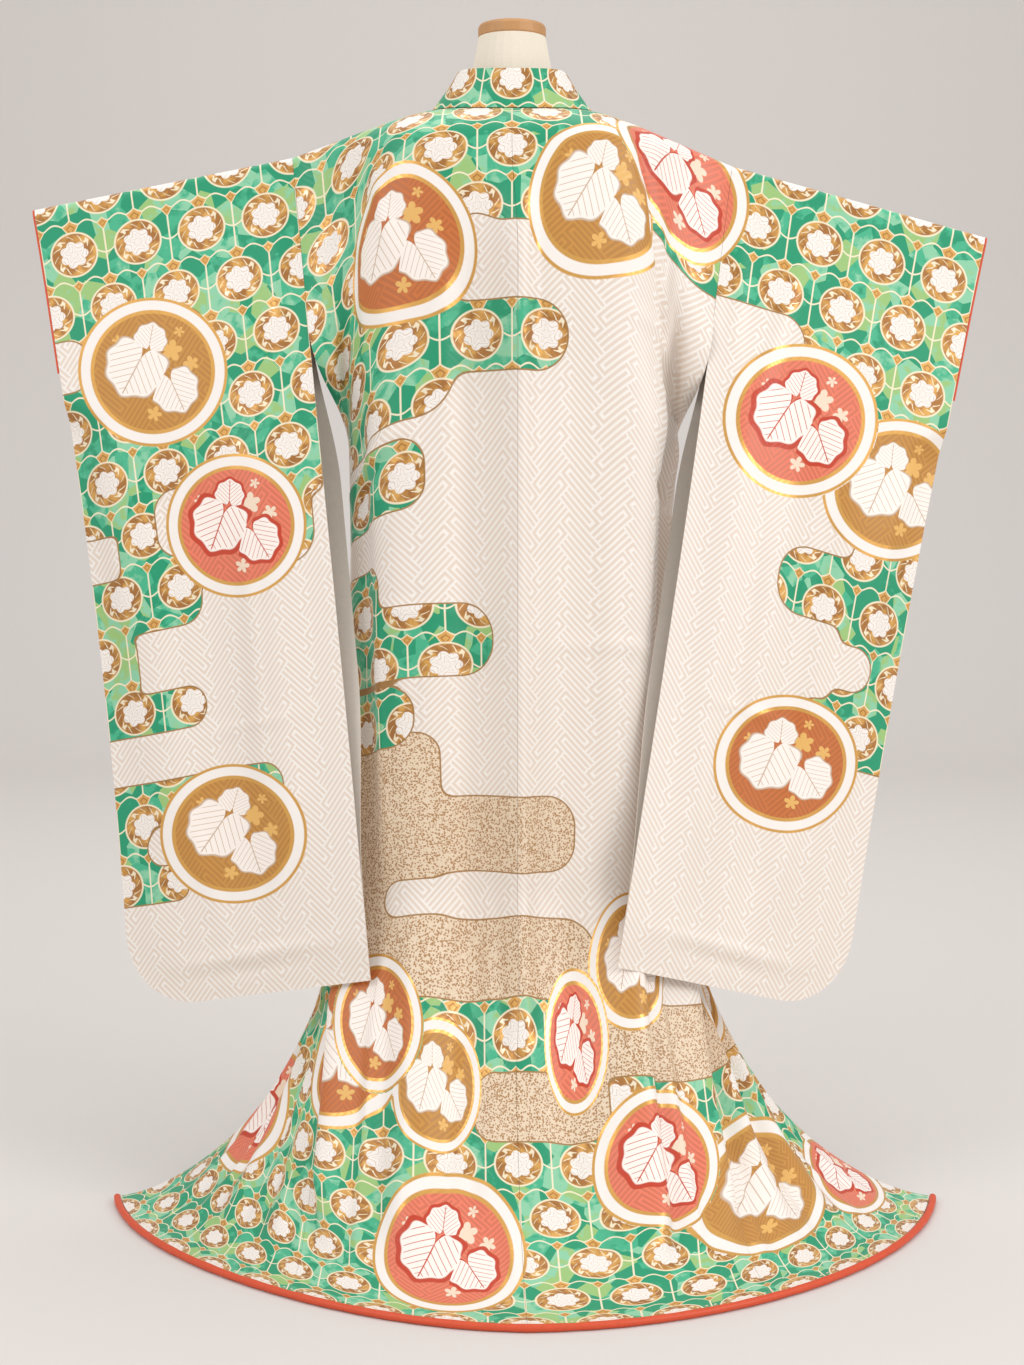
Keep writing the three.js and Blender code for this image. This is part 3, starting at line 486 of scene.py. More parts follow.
def sleeve_outward(name, across, down, face):
    """Directions square to a layer of the sleeve, away from the other layer."""
    along, drop = spans(partial(sleeve_point, name, face=face), across, down, SIDES[name]["sign"])
    return unit(np.cross(drop, along)) * -face


for name in SIDES:
    print(name, "cuff hangs at", sleeve_point(name, SLEEVE_WIDTH, CUFF_OPENING, BEHIND).round(1))


# %% Collar, hem roll and piping
def collar_seam(place):
    """Line that the collar is sewn to, by signed place: 0 at the centre back, 90 at the side of the neck."""
    points = np.empty((len(place), 3))
    for name, side in SIDES.items():
        mine = place < 0 if side["sign"] < 0 else place >= 0
        run = np.abs(place[mine]) - NECK_RUN
        turn = np.clip(-run / NECK_RUN, 0, 1) * np.pi / 2
        behind = body_point(side, NECK_HALF * np.cos(turn), NECK_DROP * np.sin(turn), BEHIND)
        below = np.maximum(run, 0)
        before = body_point(side, OVERLAP_SEAM + overlap_width(below), below, BEFORE)
        points[mine] = np.where((run < 0)[:, None], behind, before)
    return points


def collar_point(place, rise):
    """The collar's outer face, with rise from 0 at its seam to 1 at its fold."""
    run = np.abs(place) - NECK_RUN
    inward, forward, up = (np.interp(run, COLLAR_SET[:, 0], COLLAR_SET[:, k]) for k in (1, 2, 3))
    stand = unit(np.stack([-np.where(place < 0, -1, 1) * inward, forward, up], -1))
    return collar_seam(place) + stand * (COLLAR_GAP + rise * COLLAR_WIDTH)[:, None]


def hem_path(count):
    """Middle line of the hem roll, from the left front edge round behind to the right one."""
    reach = OVERLAP_SEAM + OVERLAP_WIDTH
    points = []
    for across in np.linspace(-reach, reach, count):
        x, y = hem_point(SIDES["left" if across < 0 else "right"], abs(across), ROLL_RADIUS)
        points.append((x, y, ROLL_RADIUS))
    return np.array(points)


def cuff_path(name):
    """Middle line of a cuff's piping, up the back layer's open edge and down the front layer's."""
    side = SIDES[name]
    down = np.array([CUFF_OPENING, 190, 150, 110, 70, 40, 19, 12.5, 6, 3])
    out = np.array([side["sign"] * side["along"][0], 0, side["along"][1]]) * (SEAM + PIPING_RADIUS)
    edges = []
    across = np.full(len(down), SLEEVE_WIDTH)
    for face in (BEHIND, BEFORE):
        edge = sleeve_point(name, across, down, face)
        edges.append(edge - sleeve_outward(name, across, down, face) * WALL / 2 + out)
    return np.concatenate([edges[0], edges[1][::-1]])


HEM_PLACES = 129
hem_steps = np.linalg.norm(np.diff(hem_path(HEM_PLACES), axis=0), axis=1)
print("the hem roll is", round(hem_steps.sum()), "mm long")

# %% [markdown]
# ## The design on the cut
# Green clouds with rows of medallions drift over ivory silk, with bands of gold-flecked ground between
# them, and large roundels float on top. A dyer draws all of this on the sewn panels before they are taken
# apart again, so it runs on over the seams. It could be painted as one large picture. Here the clouds are
# rounded bars in short tables, in metres on the cut, and the distance to their edge is noted at every
# point, so an outline stays thin and even. A roundel notes its own two coordinates instead, so that its rim
# stays perfectly round however coarse the cloth's grid is. Two sets of roundels let one lie over another.

# %% Clouds
# From and to across, from and to down, radius of the ends, and 1 to add or -1 to cut back to ivory.
GREEN_CLOUDS = {
    "body": [
        (-0.70, 0.80, -0.05, 0.255, 0.03, 1), (-0.34, -0.075, 0.20, 0.480, 0.05, 1),
        (-0.12, 0.072, 0.350, 0.432, 0.04, 1), (-0.34, -0.110, 0.501, 0.583, 0.03, 1),
        (-0.34, -0.175, 0.64, 0.72, 0.03, 1), (-0.34, -0.028, 0.700, 0.795, 0.045, 1),
        (-0.34, -0.13, 0.805, 0.885, 0.035, 1), (-0.9, 0.105, 1.205, 1.80, 0.04, 1),
        (0.06, 0.9, 1.300, 1.80, 0.04, 1), (-0.9, -0.16, 1.15, 1.30, 0.05, 1),
        (-0.06, 0.125, 1.290, 1.375, 0.03, -1), (-0.075, -0.02, 0.245, 0.33, 0.03, -1),
        (0.16, 0.34, 0.19, 0.30, 0.04, -1), (-0.70, -0.33, 0.24, 0.62, 0.05, 1),
        (-0.62, -0.45, 0.36, 0.44, 0.035, -1), (0.36, 0.62, 0.30, 0.42, 0.04, 1),
        (0.40, 0.80, 0.60, 0.70, 0.04, 1), (-0.80, -0.42, 0.80, 0.90, 0.045, 1),
        (0.48, 0.80, 0.86, 0.95, 0.04, 1), (-0.74, -0.36, 1.04, 1.12, 0.04, 1),
    ],
    "sleeve_left": [
        (-0.40, 0.05, -0.05, 0.46, 0.05, 1), (-0.262, -0.145, 0.178, 0.245, 0.032, -1),
        (-0.40, -0.315, 0.19, 0.26, 0.03, -1), (-0.31, -0.02, 0.44, 0.545, 0.04, 1),
        (-0.25, -0.185, 0.415, 0.505, 0.03, -1), (-0.40, -0.195, 0.52, 0.60, 0.035, 1),
        (-0.31, -0.10, 0.605, 0.665, 0.03, -1), (-0.40, -0.30, 0.60, 0.68, 0.02, 1),
        (-0.40, -0.205, 0.68, 0.735, 0.027, 1), (-0.40, -0.10, 0.80, 0.86, 0.03, 1),
        (-0.40, -0.255, 0.86, 0.965, 0.02, 1), (-0.315, -0.245, 0.865, 0.915, 0.025, -1),
        (0.0, 0.05, 0.40, 0.52, 0.03, -1),
    ],
    "sleeve_right": [
        (-0.05, 0.40, -0.05, 0.275, 0.04, 1), (-0.05, 0.135, 0.185, 0.262, 0.036, -1),
        (-0.05, 0.075, 0.24, 0.33, 0.04, -1), (0.255, 0.40, 0.20, 0.72, 0.03, 1),
        (0.15, 0.40, 0.475, 0.565, 0.04, 1), (0.205, 0.40, 0.665, 0.745, 0.036, 1),
        (0.22, 0.315, 0.585, 0.645, 0.03, -1), (0.10, 0.30, 0.255, 0.31, 0.028, 1),
    ],
    "collar": [(-1.5, 1.5, -0.3, 0.3, 0.03, 1)],
}
GOLD_CLOUDS = {
    "body": [
        (-0.34, -0.10, 0.868, 1.14, 0.03, 1), (-0.14, 0.092, 0.955, 1.058, 0.04, 1),
        (-0.184, 0.60, 1.062, 1.112, 0.025, -1), (-0.30, 0.118, 1.112, 1.23, 0.04, 1),
        (-0.08, 0.15, 1.27, 1.39, 0.035, 1), (0.10, 0.60, 1.205, 1.32, 0.035, 1),
        (-0.70, -0.42, 1.0, 1.06, 0.03, 1), (0.66, 0.80, 1.13, 1.22, 0.035, 1),
    ],
    "sleeve_left": [(-0.60, -0.50, 0, 0.1, 0.02, 1)],
    "sleeve_right": [(0.50, 0.60, 0, 0.1, 0.02, 1)],
    "collar": [(1.50, 1.60, 0, 0.1, 0.02, 1)],
}
print("green clouds of the body are", len(GREEN_CLOUDS["body"]), "bars")

# %% Roundels
# Place across and down, half width and half height, ground, turn in degrees, and slant across and down. The
# ground is 0 for ochre, 1 for copper and 2 for coral. The slants follow the pull of the cloth at that
# place.
ROUNDELS = {
    "body": [
        [(-0.140, 0.262, 0.093, 0.101, 1, 8, 0, 0.27), (0.110, 0.209, 0.087, 0.108, 0, -6, 0.04, -0.2),
         (-0.093, 1.550, 0.097, 0.132, 2, 4, 0, -0.08), (0.680, 1.556, 0.140, 0.088, 2, -8, 0.3, 0.3),
         (-0.268, 1.266, 0.130, 0.104, 1, 14, -0.13, -0.22), (0.166, 1.160, 0.056, 0.083, 0, 16, 0.07, -0.1),
         (0.384, 1.488, 0.188, 0.122, 0, 6, 0.35, 0.4), (-0.108, 1.310, 0.057, 0.081, 0, 10, 0, -0.06),
         (-0.622, 1.415, 0.170, 0.105, 2, 10, -0.3, -0.3), (0.466, 1.205, 0.072, 0.085, 0, 5, 0, 0),
         (-0.452, 0.330, 0.092, 0.098, 0, -10, 0, 0), (0.470, 0.520, 0.094, 0.098, 2, 12, 0, 0),
         (-0.520, 0.985, 0.094, 0.098, 1, 5, 0, 0), (0.560, 0.860, 0.094, 0.098, 1, -6, 0, 0)],
        [(0.238, 0.078, 0.108, 0.100, 2, -10, -0.25, -0.4), (-0.193, 1.231, 0.067, 0.083, 1, 0, -0.04, 0.05),
         (0.086, 1.254, 0.042, 0.085, 2, -4, 0.11, 0.03), (0.188, 1.414, 0.089, 0.102, 2, 0, 0.11, 0.04)],
    ],
    "sleeve_left": [
        [(-0.227, 0.255, 0.107, 0.099, 0, 0, 0.12, 0.22), (-0.133, 0.481, 0.103, 0.095, 2, 8, 0.11, 0.21),
         (-0.183, 0.888, 0.110, 0.092, 0, -5, 0.08, 0.18)],
        [],
    ],
    "sleeve_right": [
        [(0.303, 0.367, 0.114, 0.095, 0, 4, -0.18, -0.32), (0.208, 0.761, 0.116, 0.091, 1, 5, -0.15, -0.30),
         (-0.072, 0.078, 0.108, 0.100, 2, -10, -0.25, -0.4)],
        [(0.145, 0.316, 0.116, 0.102, 2, -6, -0.16, -0.31)],
    ],
    "collar": [[], []],
}
print("roundels", {panel: len(lower) + len(upper) for panel, (lower, upper) in ROUNDELS.items()})


# %% Notes on every point
GROUND, CLOUDS, ROUNDEL, LINING = range(4)
EDGE_ROOM = 0.006
RIM_ROOM = 1.16
FAR_OUT = 9.0


def bar_distance(place, bar):
    """How far each place is outside a rounded bar, in metres. Inside it is negative."""
    left, right, top, bottom, radius, _ = bar
    middle = [(left + right) / 2, (top + bottom) / 2]
    core = [(right - left) / 2 - radius, (bottom - top) / 2 - radius]
    off = np.abs(place - middle) - core
    return np.hypot(*np.maximum(off, 0).T) + np.minimum(off.max(axis=1), 0) - radius


def cloud_distance(place, bars, soft=0.018):
    """Bars run into each other with a soft waist, as cloud shapes do, and are cut back in order."""
    total = np.full(len(place), 1.0)
    for bar in bars:
        near = bar_distance(place, bar)
        cuts_back = bar[5] < 0
        if cuts_back:
            total = -total
        blend = np.clip(0.5 + 0.5 * (total - near) / soft, 0, 1)
        total = mix(total, near, blend) - soft * blend * (1 - blend)
        if cuts_back:
            total = -total
    return total


def roundel_notes(place, roundels):
    """The nearest roundel's own coordinates and how far out the place is, then its ground and two blanks."""
    local = np.full((len(place), 3), FAR_OUT)
    looks = np.zeros((len(place), 3))
    for across, down, half_width, half_height, ground, turn, slant_x, slant_y in roundels:
        off_x = (place[:, 0] - across) / half_width
        off_y = (place[:, 1] - down) / half_height
        x, y = off_x + slant_x * off_y, slant_y * off_x - off_y
        out = np.hypot(x, y)
        near = out < local[:, 2]
        angle = math.radians(turn)
        local[near, 0] = (x * math.cos(angle) + y * math.sin(angle))[near]
        local[near, 1] = (y * math.cos(angle) - x * math.sin(angle))[near]
        local[near, 2] = out[near]
        looks[near, 0] = ground
    return local, looks


def design_notes(panel, place):
    """What every point carries, and the simplest finish that shows all of the design there."""
    green = cloud_distance(place, GREEN_CLOUDS[panel])
    gold = cloud_distance(place, GOLD_CLOUDS[panel])
    notes = {"clouds": np.stack([green, gold, np.zeros(len(place))], -1)}
    kinds = np.where(green < EDGE_ROOM, CLOUDS, GROUND)
    for layer, roundels in zip("ab", ROUNDELS[panel]):
        local, looks = roundel_notes(place, roundels)
        notes["roundel_" + layer] = local
        notes["look_" + layer] = looks
        kinds[local[:, 2] < RIM_ROOM] = ROUNDEL
    return notes, kinds


middle_back = np.array([[0.0, 0.9]])
print("metres from the waist to a green cloud", cloud_distance(middle_back, GREEN_CLOUDS["body"]).round(3))

# %% [markdown]
# ## Patterns as sums
# A woven or printed pattern repeats, so it could be a picture tile. A tile blurs when it is looked at
# closely, and sums stay sharp at any distance. So a pattern is worked out for each place on the cut, in
# metres. A small class wraps the output of a shader node, so that a pattern can be written down as it would
# be on paper.


# %% One small class for shader sums
class Wire:
    """One output of a shader node."""

    def __init__(self, tree, socket):
        self.tree = tree
        self.socket = socket

    def via(self, kind, *inputs, out=0, **settings):
        """Any other node. An input is a wire, a constant, or None where it is left as it is."""
        node = self.tree.nodes.new(kind)
        for key, value in settings.items():
            setattr(node, key, value)
        for socket, value in zip(node.inputs, inputs):
            if isinstance(value, Wire):
                self.tree.links.new(value.socket, socket)
            elif value is not None:
                socket.default_value = value
        return Wire(self.tree, node.outputs[out])

    def calc(self, operation, *others):
        return self.via("ShaderNodeMath", self, *others, operation=operation)

    def back(self, operation, other):
        return self.via("ShaderNodeMath", other, self, operation=operation)

    def __add__(self, other):
        return self.calc("ADD", other)

    def __sub__(self, other):
        return self.calc("SUBTRACT", other)

    def __mul__(self, other):
        return self.calc("MULTIPLY", other)

    def __truediv__(self, other):
        return self.calc("DIVIDE", other)

    def __radd__(self, other):
        return self.back("ADD", other)

    def __rsub__(self, other):
        return self.back("SUBTRACT", other)

    def __rmul__(self, other):
        return self.back("MULTIPLY", other)

    def __abs__(self):
        return self.calc("ABSOLUTE")

    def least(self, *others):
        total = self
        for other in others:
            total = total.calc("MINIMUM", other)
        return total

    def most(self, *others):
        total = self
        for other in others:
            total = total.calc("MAXIMUM", other)
        return total

    def over(self, limit):
        """1 where this is over the limit, and 0 elsewhere."""
        return self.calc("GREATER_THAN", limit)

    def below(self, limit, soft):
        """1 well below the limit, 0 well above it, and a soft step between."""
        return self.via("ShaderNodeMapRange", self, limit - soft, limit + soft, 1.0, 0.0)

    def folded(self, half):
        """Repeats every two halves, from minus half to half."""
        return self.calc("WRAP", half, -half)

    def pick(self, low, high):
        """Mixes two numbers: low where this is 0, high where it is 1."""
        return self.via("ShaderNodeMix", self, None, low, high)

    def pick_vector(self, low, high):
        return self.via("ShaderNodeMix", self, None, None, None, low, high, out=1, data_type="VECTOR")

    def paint(self, under, colour):
        """Colour where this is 1, over what is under it."""
        unused = [None] * 5
        return self.via("ShaderNodeMix", self, *unused, under, colour, out=2, data_type="RGBA")

    def parts(self):
        first = self.via("ShaderNodeSeparateXYZ", self)
        return [Wire(self.tree, socket) for socket in first.socket.node.outputs]

    def length(self):
        return self.via("ShaderNodeVectorMath", self, out=1, operation="LENGTH")

    def placed(self, across, up, turn, size):
        """Own coordinates of a motif that lies there, turned by degrees and of that size."""
        turned = (0, 0, math.radians(turn))
        sized = (size, size, 1)
        return self.via("ShaderNodeMapping", self, (across, up, 0), turned, sized, vector_type="TEXTURE")


def dye(red, green, blue):
    """A colour from its numbers on a screen, 0 to 255."""
    shares = (red / 255, green / 255, blue / 255)
    return (*[c / 12.92 if c <= 0.04045 else ((c + 0.055) / 1.055) ** 2.4 for c in shares], 1)


print("half grey on a screen is", round(dye(128, 128, 128)[0], 3), "of white light")

# %% [markdown]
# ## The damask ground
# The ground is ivory silk with an interlocking fret on the slant, woven in the same silk, so that it shows
# by its shine more than by its colour. The darker ivory that the fret's lines are painted in here is painted
# shade, which stands in for that shine. The fret could be modelled as thread, but it is far finer than a
# crease and lies flat, so it is a sum in the material. Three lines side by side make a bar, closed by a
# hook at one end and open at the other. The bars lie in steps, one rising and one falling in turn, so each
# runs into the side of the next, and every second row of bars has its hooks at the other end.

# %% Interlocking fret
FRET_LINE = 0.0060
FRET_LINES = 3
FRET_BAR = 3
FRET_TALL = 1.1
print("one bar of the fret is", round(FRET_LINE * FRET_LINES * FRET_BAR * 1000), "mm long")


def key_fret(u, v):
    """Distance to the nearest line of the fret, counted in steps from one line to the next."""
    tall = v / FRET_TALL
    width = math.sqrt(2) * FRET_LINE * FRET_LINES
    length = FRET_BAR * FRET_LINES
    x, y = (u + tall) / width, (tall - u) / width
    column, row = x.calc("FLOOR"), y.calc("FLOOR")
    step = (column - row).calc("WRAP", 2 * FRET_BAR, 0)
    falling = step.over(FRET_BAR - 0.5)
    along = falling.pick(x - column + step, y - row + (2 * FRET_BAR - 1) - step) * FRET_LINES
    side = abs(falling.pick(y - row, x - column) * FRET_LINES - FRET_LINES / 2)
    second = falling.pick(row, column).calc("PINGPONG", 1.0)
    along = second.pick(along, length - along)
    open_end = along - (length - 0.5)
    outer_lines = abs(side - 1).most(0.5 - along, open_end)
    hook = abs(along - 0.5).most(side - 1)
    middle_line = side.most(1.7 - along, open_end)
    return outer_lines.least(hook, middle_line)


# %% [markdown]
# ## Medallions in the green clouds
# Inside the clouds, rows of gold medallions with a white flower stand in green cells with cream outlines,
# each row shifted by half a step. Small gold diamonds and larger quatrefoils sit where the outlines meet.
# One medallion could be drawn and copied by hand. Here the place on the cut is folded back into one cell,
# so a single drawing fills every cell, and only the dyer's uneven greens run on from cell to cell.

# %% Medallion rows
MEDALLION_STEP = 0.090
MEDALLION_ROW = 0.078
IVORY = dye(239, 233, 227)
# Painted shade for the fret's lines: a darker ivory that stands in for their shine.
FRET_PAINTED_SHADE = dye(223, 208, 194)
CREAM = dye(240, 226, 196)
EMERALD = dye(10, 146, 104)
SEA_GREEN = dye(62, 174, 132)
MINT = dye(136, 200, 162)
YOUNG_GREEN = dye(150, 190, 116)
GOLD = dye(214, 162, 84)
BRONZE = dye(164, 110, 52)
print("medallions to a square metre", round(1 / (MEDALLION_STEP * MEDALLION_ROW)))


def medallion_cloth(u, v, place):
    half = MEDALLION_STEP / 2
    wave = (u * (2 * math.pi / half)).calc("COSINE") * 0.0045
    level = (v - wave) / MEDALLION_ROW
    row = level.calc("ROUND")
    y = (level - row) * MEDALLION_ROW
    x = (u + row.calc("PINGPONG", 1.0) * half).folded(half)

    patch = place.via("ShaderNodeTexVoronoi", place, None, 34.0, feature="F1", out=1)
    wash = place.via("ShaderNodeTexNoise", place, None, 60.0, 3.0)
    shade = patch.parts()[0] + (wash - 0.5) * 0.7
    colour = shade.below(0.42, 0.05).paint(SEA_GREEN, EMERALD)
    colour = (1 - shade).below(0.38, 0.06).paint(colour, MINT)
    colour = (1 - shade).below(0.16, 0.05).paint(colour, YOUNG_GREEN)

    joint = (half - abs(x)).least(MEDALLION_ROW / 2 - abs(y))
    tie = abs(y).most((half * 0.6 - abs(x)))
    colour = joint.least(tie).below(0.0011, 0.0004).paint(colour, CREAM)

    near_x = abs(u.folded(half / 2))
    near_y = MEDALLION_ROW / 2 - abs(y)
    big = abs(y.over(0) - abs(x).over(half / 2)).over(0.5)
    size = big.pick(0.0125, 0.0085)
    jewel = (near_x + near_y) / size
    colour = jewel.below(1.0, 0.05).paint(colour, CREAM)
    colour = jewel.below(0.84, 0.05).paint(colour, GOLD)
    colour = abs(jewel - 0.42).below(0.07, 0.05).paint(colour, BRONZE)

    a, b = x / 0.0335, (v - row * MEDALLION_ROW) / 0.0305
    out = (a * a + b * b).calc("SQRT")
    angle = b.calc("ARCTAN2", a)
    colour = out.below(1.0, 0.02).paint(colour, CREAM)
    disc = (wash - 0.47).below(0.0, 0.1).paint(BRONZE, GOLD)
    colour = out.below(0.925, 0.02).paint(colour, disc)
    curl = abs((angle * 6 + out * 9).calc("SINE") * (angle * 2).calc("COSINE"))
    curl = curl.below(0.13, 0.05) * abs(out - 0.76).below(0.11, 0.02)
    colour = curl.paint(colour, CREAM)
    petals = 0.47 + abs((angle * 3.5).calc("COSINE")) * 0.13
    flower = out - petals
    colour = flower.below(0.0, 0.02).paint(colour, IVORY)
    folds = abs((out * 17 + abs((angle * 2.5 + out * 3).calc("SINE")) * 4).calc("SINE")).below(0.22, 0.08)
    colour = (folds * flower.below(-0.02, 0.01)).paint(colour, dye(205, 182, 158))
    gilt = (1 - flower.below(0.0, 0.02)) * out.below(0.925, 0.02)
    return colour, gilt.most(jewel.below(0.84, 0.05)) * 0.6


# %% [markdown]
# ## Roundels
# Each roundel has a white rim between gold lines and a coloured ground. The spray inside is drawn for this
# piece: heart-shaped leaves climb round one side and five-petalled blossoms fill the other. Two grounds
# carry white leaves, and the third has leaves with a broad red edge. Each leaf and each blossom is one
# formula in its own coordinates, so a table of places, turns and sizes is all that the spray needs.

# %% Spray inside a roundel
LEAVES = [(-0.27, -0.02, -28, 0.52), (0.33, -0.30, 24, 0.40), (-0.02, 0.50, 170, 0.27)]
BLOSSOMS = [(0.26, 0.30, 10, 0.17), (0.53, 0.12, 40, 0.13), (0.02, -0.58, 0, 0.13), (-0.47, 0.42, 25, 0.12),
            (0.36, 0.56, 60, 0.10)]
LEAF_WHITE = dye(246, 236, 228)
LEAF_LINE = dye(196, 172, 150)
RED_EDGE = dye(190, 56, 22)
OCHRE = dye(196, 140, 62)
COPPER = dye(198, 110, 50)
CORAL = dye(230, 122, 94)
print("a spray has", len(LEAVES), "leaves and", len(BLOSSOMS), "blossoms")


def nearest_motif(place, motifs):
    """Own coordinates of the nearest of several motifs."""
    best = place.placed(*motifs[0])
    nearest = best.length()
    for motif in motifs[1:]:
        local = place.placed(*motif)
        away = local.length()
        closer = (nearest - away).over(0)
        best = closer.pick_vector(best, local)
        nearest = nearest.least(away)
    return best


def heart_leaf(place):
    """How far a place is outside a heart-shaped leaf of length 1, and how near it is to a vein."""
    x, y, _ = place.parts()
    down = 0.34 - y
    angle = abs(x.calc("ARCTAN2", down)) / math.pi
    reach = (1 - 0.30 * angle.calc("POWER", 0.8)) * (1 - 0.86 * angle.calc("POWER", 7.0))
    scallop = (angle * (9 * math.pi)).calc("COSINE") * 0.035
    outside = (x * x + down * down).calc("SQRT") - reach - scallop
    rib = abs(x)
    side_veins = abs(((y + rib * 0.9) * 15).calc("SINE")) / 14
    return outside, rib.least(side_veins + 0.005)


def roundel_cloth(place, ground, fret):
    red_kind = ground.over(1.5)
    colour = ground.over(0.5).paint(OCHRE, COPPER)
    colour = red_kind.paint(colour, CORAL)
    # Painted shade: the woven fret is painted as darker brown lines on the dyed ground, standing in for its
    # shine.
    colour = (fret * 0.28).paint(colour, dye(128, 66, 26))

    bloom = nearest_motif(place, BLOSSOMS)
    x, y, _ = bloom.parts()
    away = bloom.length()
    petals = away - 0.62 - abs((y.calc("ARCTAN2", x) * 2.5).calc("COSINE")) * 0.38
    bloom_colour = red_kind.paint(dye(226, 176, 96), dye(236, 214, 190))
    colour = petals.below(0.0, 0.03).paint(colour, bloom_colour)
    colour = away.below(0.22, 0.03).paint(colour, dye(176, 122, 60))

    outside, vein = heart_leaf(nearest_motif(place, LEAVES))
    line_colour = red_kind.paint(LEAF_LINE, RED_EDGE)
    edge = outside - red_kind.pick(0.02, 0.085)
    colour = edge.below(0.0, 0.012).paint(colour, line_colour)
    inner = red_kind.pick(outside + 0.03, outside + 0.06)
    colour = inner.below(0.0, 0.02).paint(colour, LEAF_WHITE)
    veins = vein.below(0.017, 0.008) * inner.below(-0.06, 0.03)
    return veins.paint(colour, line_colour)


# %% [markdown]
# ## The figured silk
# All layers come together in one material: ivory damask, bands of gold fleck, green clouds with their gold-
# brown outline, and the roundels with their rims on top. On real silk each is a pass of its own, from
# weaving to dyeing to gold leaf. Three materials share one function, because most of the cloth shows only
# some of the layers.


# %% Materials
def new_material(name):
    material = bpy.data.materials.new(name)
    material.use_nodes = True
    shader = material.node_tree.nodes["Principled BSDF"]
    source = material.node_tree.nodes.new("ShaderNodeTexCoord")
    return material, shader, Wire(material.node_tree, source.outputs["Object"])


def note(start, name):
    """Three numbers that the piece carries at every point."""
    return start.via("ShaderNodeAttribute", out=1, attribute_name=name)


def feed(wire, shader, name):
    wire.tree.links.new(wire.socket, shader.inputs[name])


def figured(name, clouds=False, roundels=False):
    """The silk's face. Away from the clouds and roundels it leaves their sums out, which is quicker."""
    material, shader, start = new_material(name)
    cut = start.via("ShaderNodeUVMap", uv_map="cut")
    u, v, _ = cut.parts()
    fret = key_fret(u, v).below(0.29, 0.1)
    fleck = start.via("ShaderNodeTexVoronoi", cut, None, 380.0, feature="F1")
    green, gold, _ = note(start, "clouds").parts()

    # Painted shade: the fret's lines are painted a darker ivory in place of their different shine.
    colour = fret.paint(IVORY, FRET_PAINTED_SHADE)
    flecked = fleck.below(0.44, 0.1).paint(dye(226, 205, 178), dye(168, 124, 78))
    colour = gold.below(0.0, 0.0004).paint(colour, flecked)
    outline = abs(gold)
    gilt = None
    if clouds:
        in_green = green.below(0.0, 0.0004)
        rows, gilt = medallion_cloth(u, v, cut)
        colour = in_green.paint(colour, rows)
        outline = abs(green).least(outline.most(0 - green))
        gilt = gilt * in_green
    colour = outline.below(0.0010, 0.0004).paint(colour, dye(158, 116, 62))
    if roundels:
        lower, upper = note(start, "roundel_a"), note(start, "roundel_b")
        on_top = 1 - upper.parts()[2].over(1.03)
        place = on_top.pick_vector(lower, upper)
        look = on_top.pick_vector(note(start, "look_a"), note(start, "look_b"))
        out = place.parts()[2]
        inside = roundel_cloth(place, look.parts()[0], fret)
        colour = out.below(1.0, 0.006).paint(colour, IVORY)
        colour = out.below(0.82, 0.006).paint(colour, inside)
        lines = (abs(out - 1.0) + 0.006).least(abs(out - 0.825)).below(0.026, 0.006)
        colour = lines.paint(colour, GOLD)
        gilt = lines.most(gilt * out.over(1.0))
    feed(colour, shader, "Base Color")
    if gilt:
        feed(gilt * 0.5, shader, "Metallic")
        feed(0.56 - fret * 0.12 - gilt * 0.15, shader, "Roughness")
    else:
        feed(0.56 - fret * 0.12, shader, "Roughness")
    slub = start.via("ShaderNodeTexNoise", start, None, 26.0, 2.0)
    feed(start.via("ShaderNodeBump", 0.5, 0.0012, None, slub, None), shader, "Normal")
    shader.inputs["Sheen Weight"].default_value = 0.1
    return material


silk = [
    figured("damask"),
    figured("clouded_silk", clouds=True),
    figured("roundel_silk", clouds=True, roundels=True),
]
print("nodes in each silk", [len(material.node_tree.nodes) for material in silk])

# %% [markdown]
# ## Plain finishes
# The lining, the red silk of the hem and the cuffs, the form's cover, the wood and the stand are each one
# colour. Real dye and wood are never quite even, so a fine noise makes each a little lighter and darker.


# %% Plain finishes, and the materials of the stand
def plain(name, colour, roughness, grain=0.0, grain_size=200.0, metallic=0.0):
    """One colour, a little lighter and darker from place to place."""
    material, shader, start = new_material(name)
    cloudy = start.via("ShaderNodeTexNoise", start, None, grain_size, 4.0)
    darker = tuple(part * (1 - grain) for part in colour[:3]) + (1,)
    feed(cloudy.paint(darker, colour), shader, "Base Color")
    shader.inputs["Roughness"].default_value = roughness
    shader.inputs["Metallic"].default_value = metallic
    return material


silk.append(plain("lining_silk", dye(222, 212, 200), 0.6, 0.12))
red_silk = plain("red_silk", dye(222, 82, 42), 0.5, 0.25)
form_cloth = plain("form_cloth", dye(236, 226, 208), 0.9, 0.12, 400.0)
pale_wood = plain("pale_wood", dye(204, 150, 96), 0.5, 0.3, 60.0)
stand_metal = plain("stand_metal", dye(44, 44, 46), 0.4, 0.1, 60.0, 0.3)
STAND = {
    "form_torso": form_cloth, "form_cap": pale_wood,
    "spreader_rod_left": pale_wood, "spreader_rod_right": pale_wood,
    "stand_pole": stand_metal, "stand_base": stand_metal,
}
for node, material in STAND.items():
    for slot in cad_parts[node].material_slots:
        slot.material = material
print("materials", [material.name for material in bpy.data.materials])


# %% [markdown]
# ## Cloth as a thin shell
# Silk, interlining and lining hang together as one soft wall. A single surface would look like paper at the
# hem. A Solidify modifier could thicken it. Here each panel is a grid of places on the cut, every place is
# asked where it hangs, and the second face is set back by the same sums that place the stitches and the
# piping. That face is the lining, and the rims between the faces are closed. The places on the cut become
# the piece's own map, which the woven and painted design is drawn on.

# %% A shell from a grid of places
SILK_WALL = 1.6
SHARP_EDGE = math.radians(60)


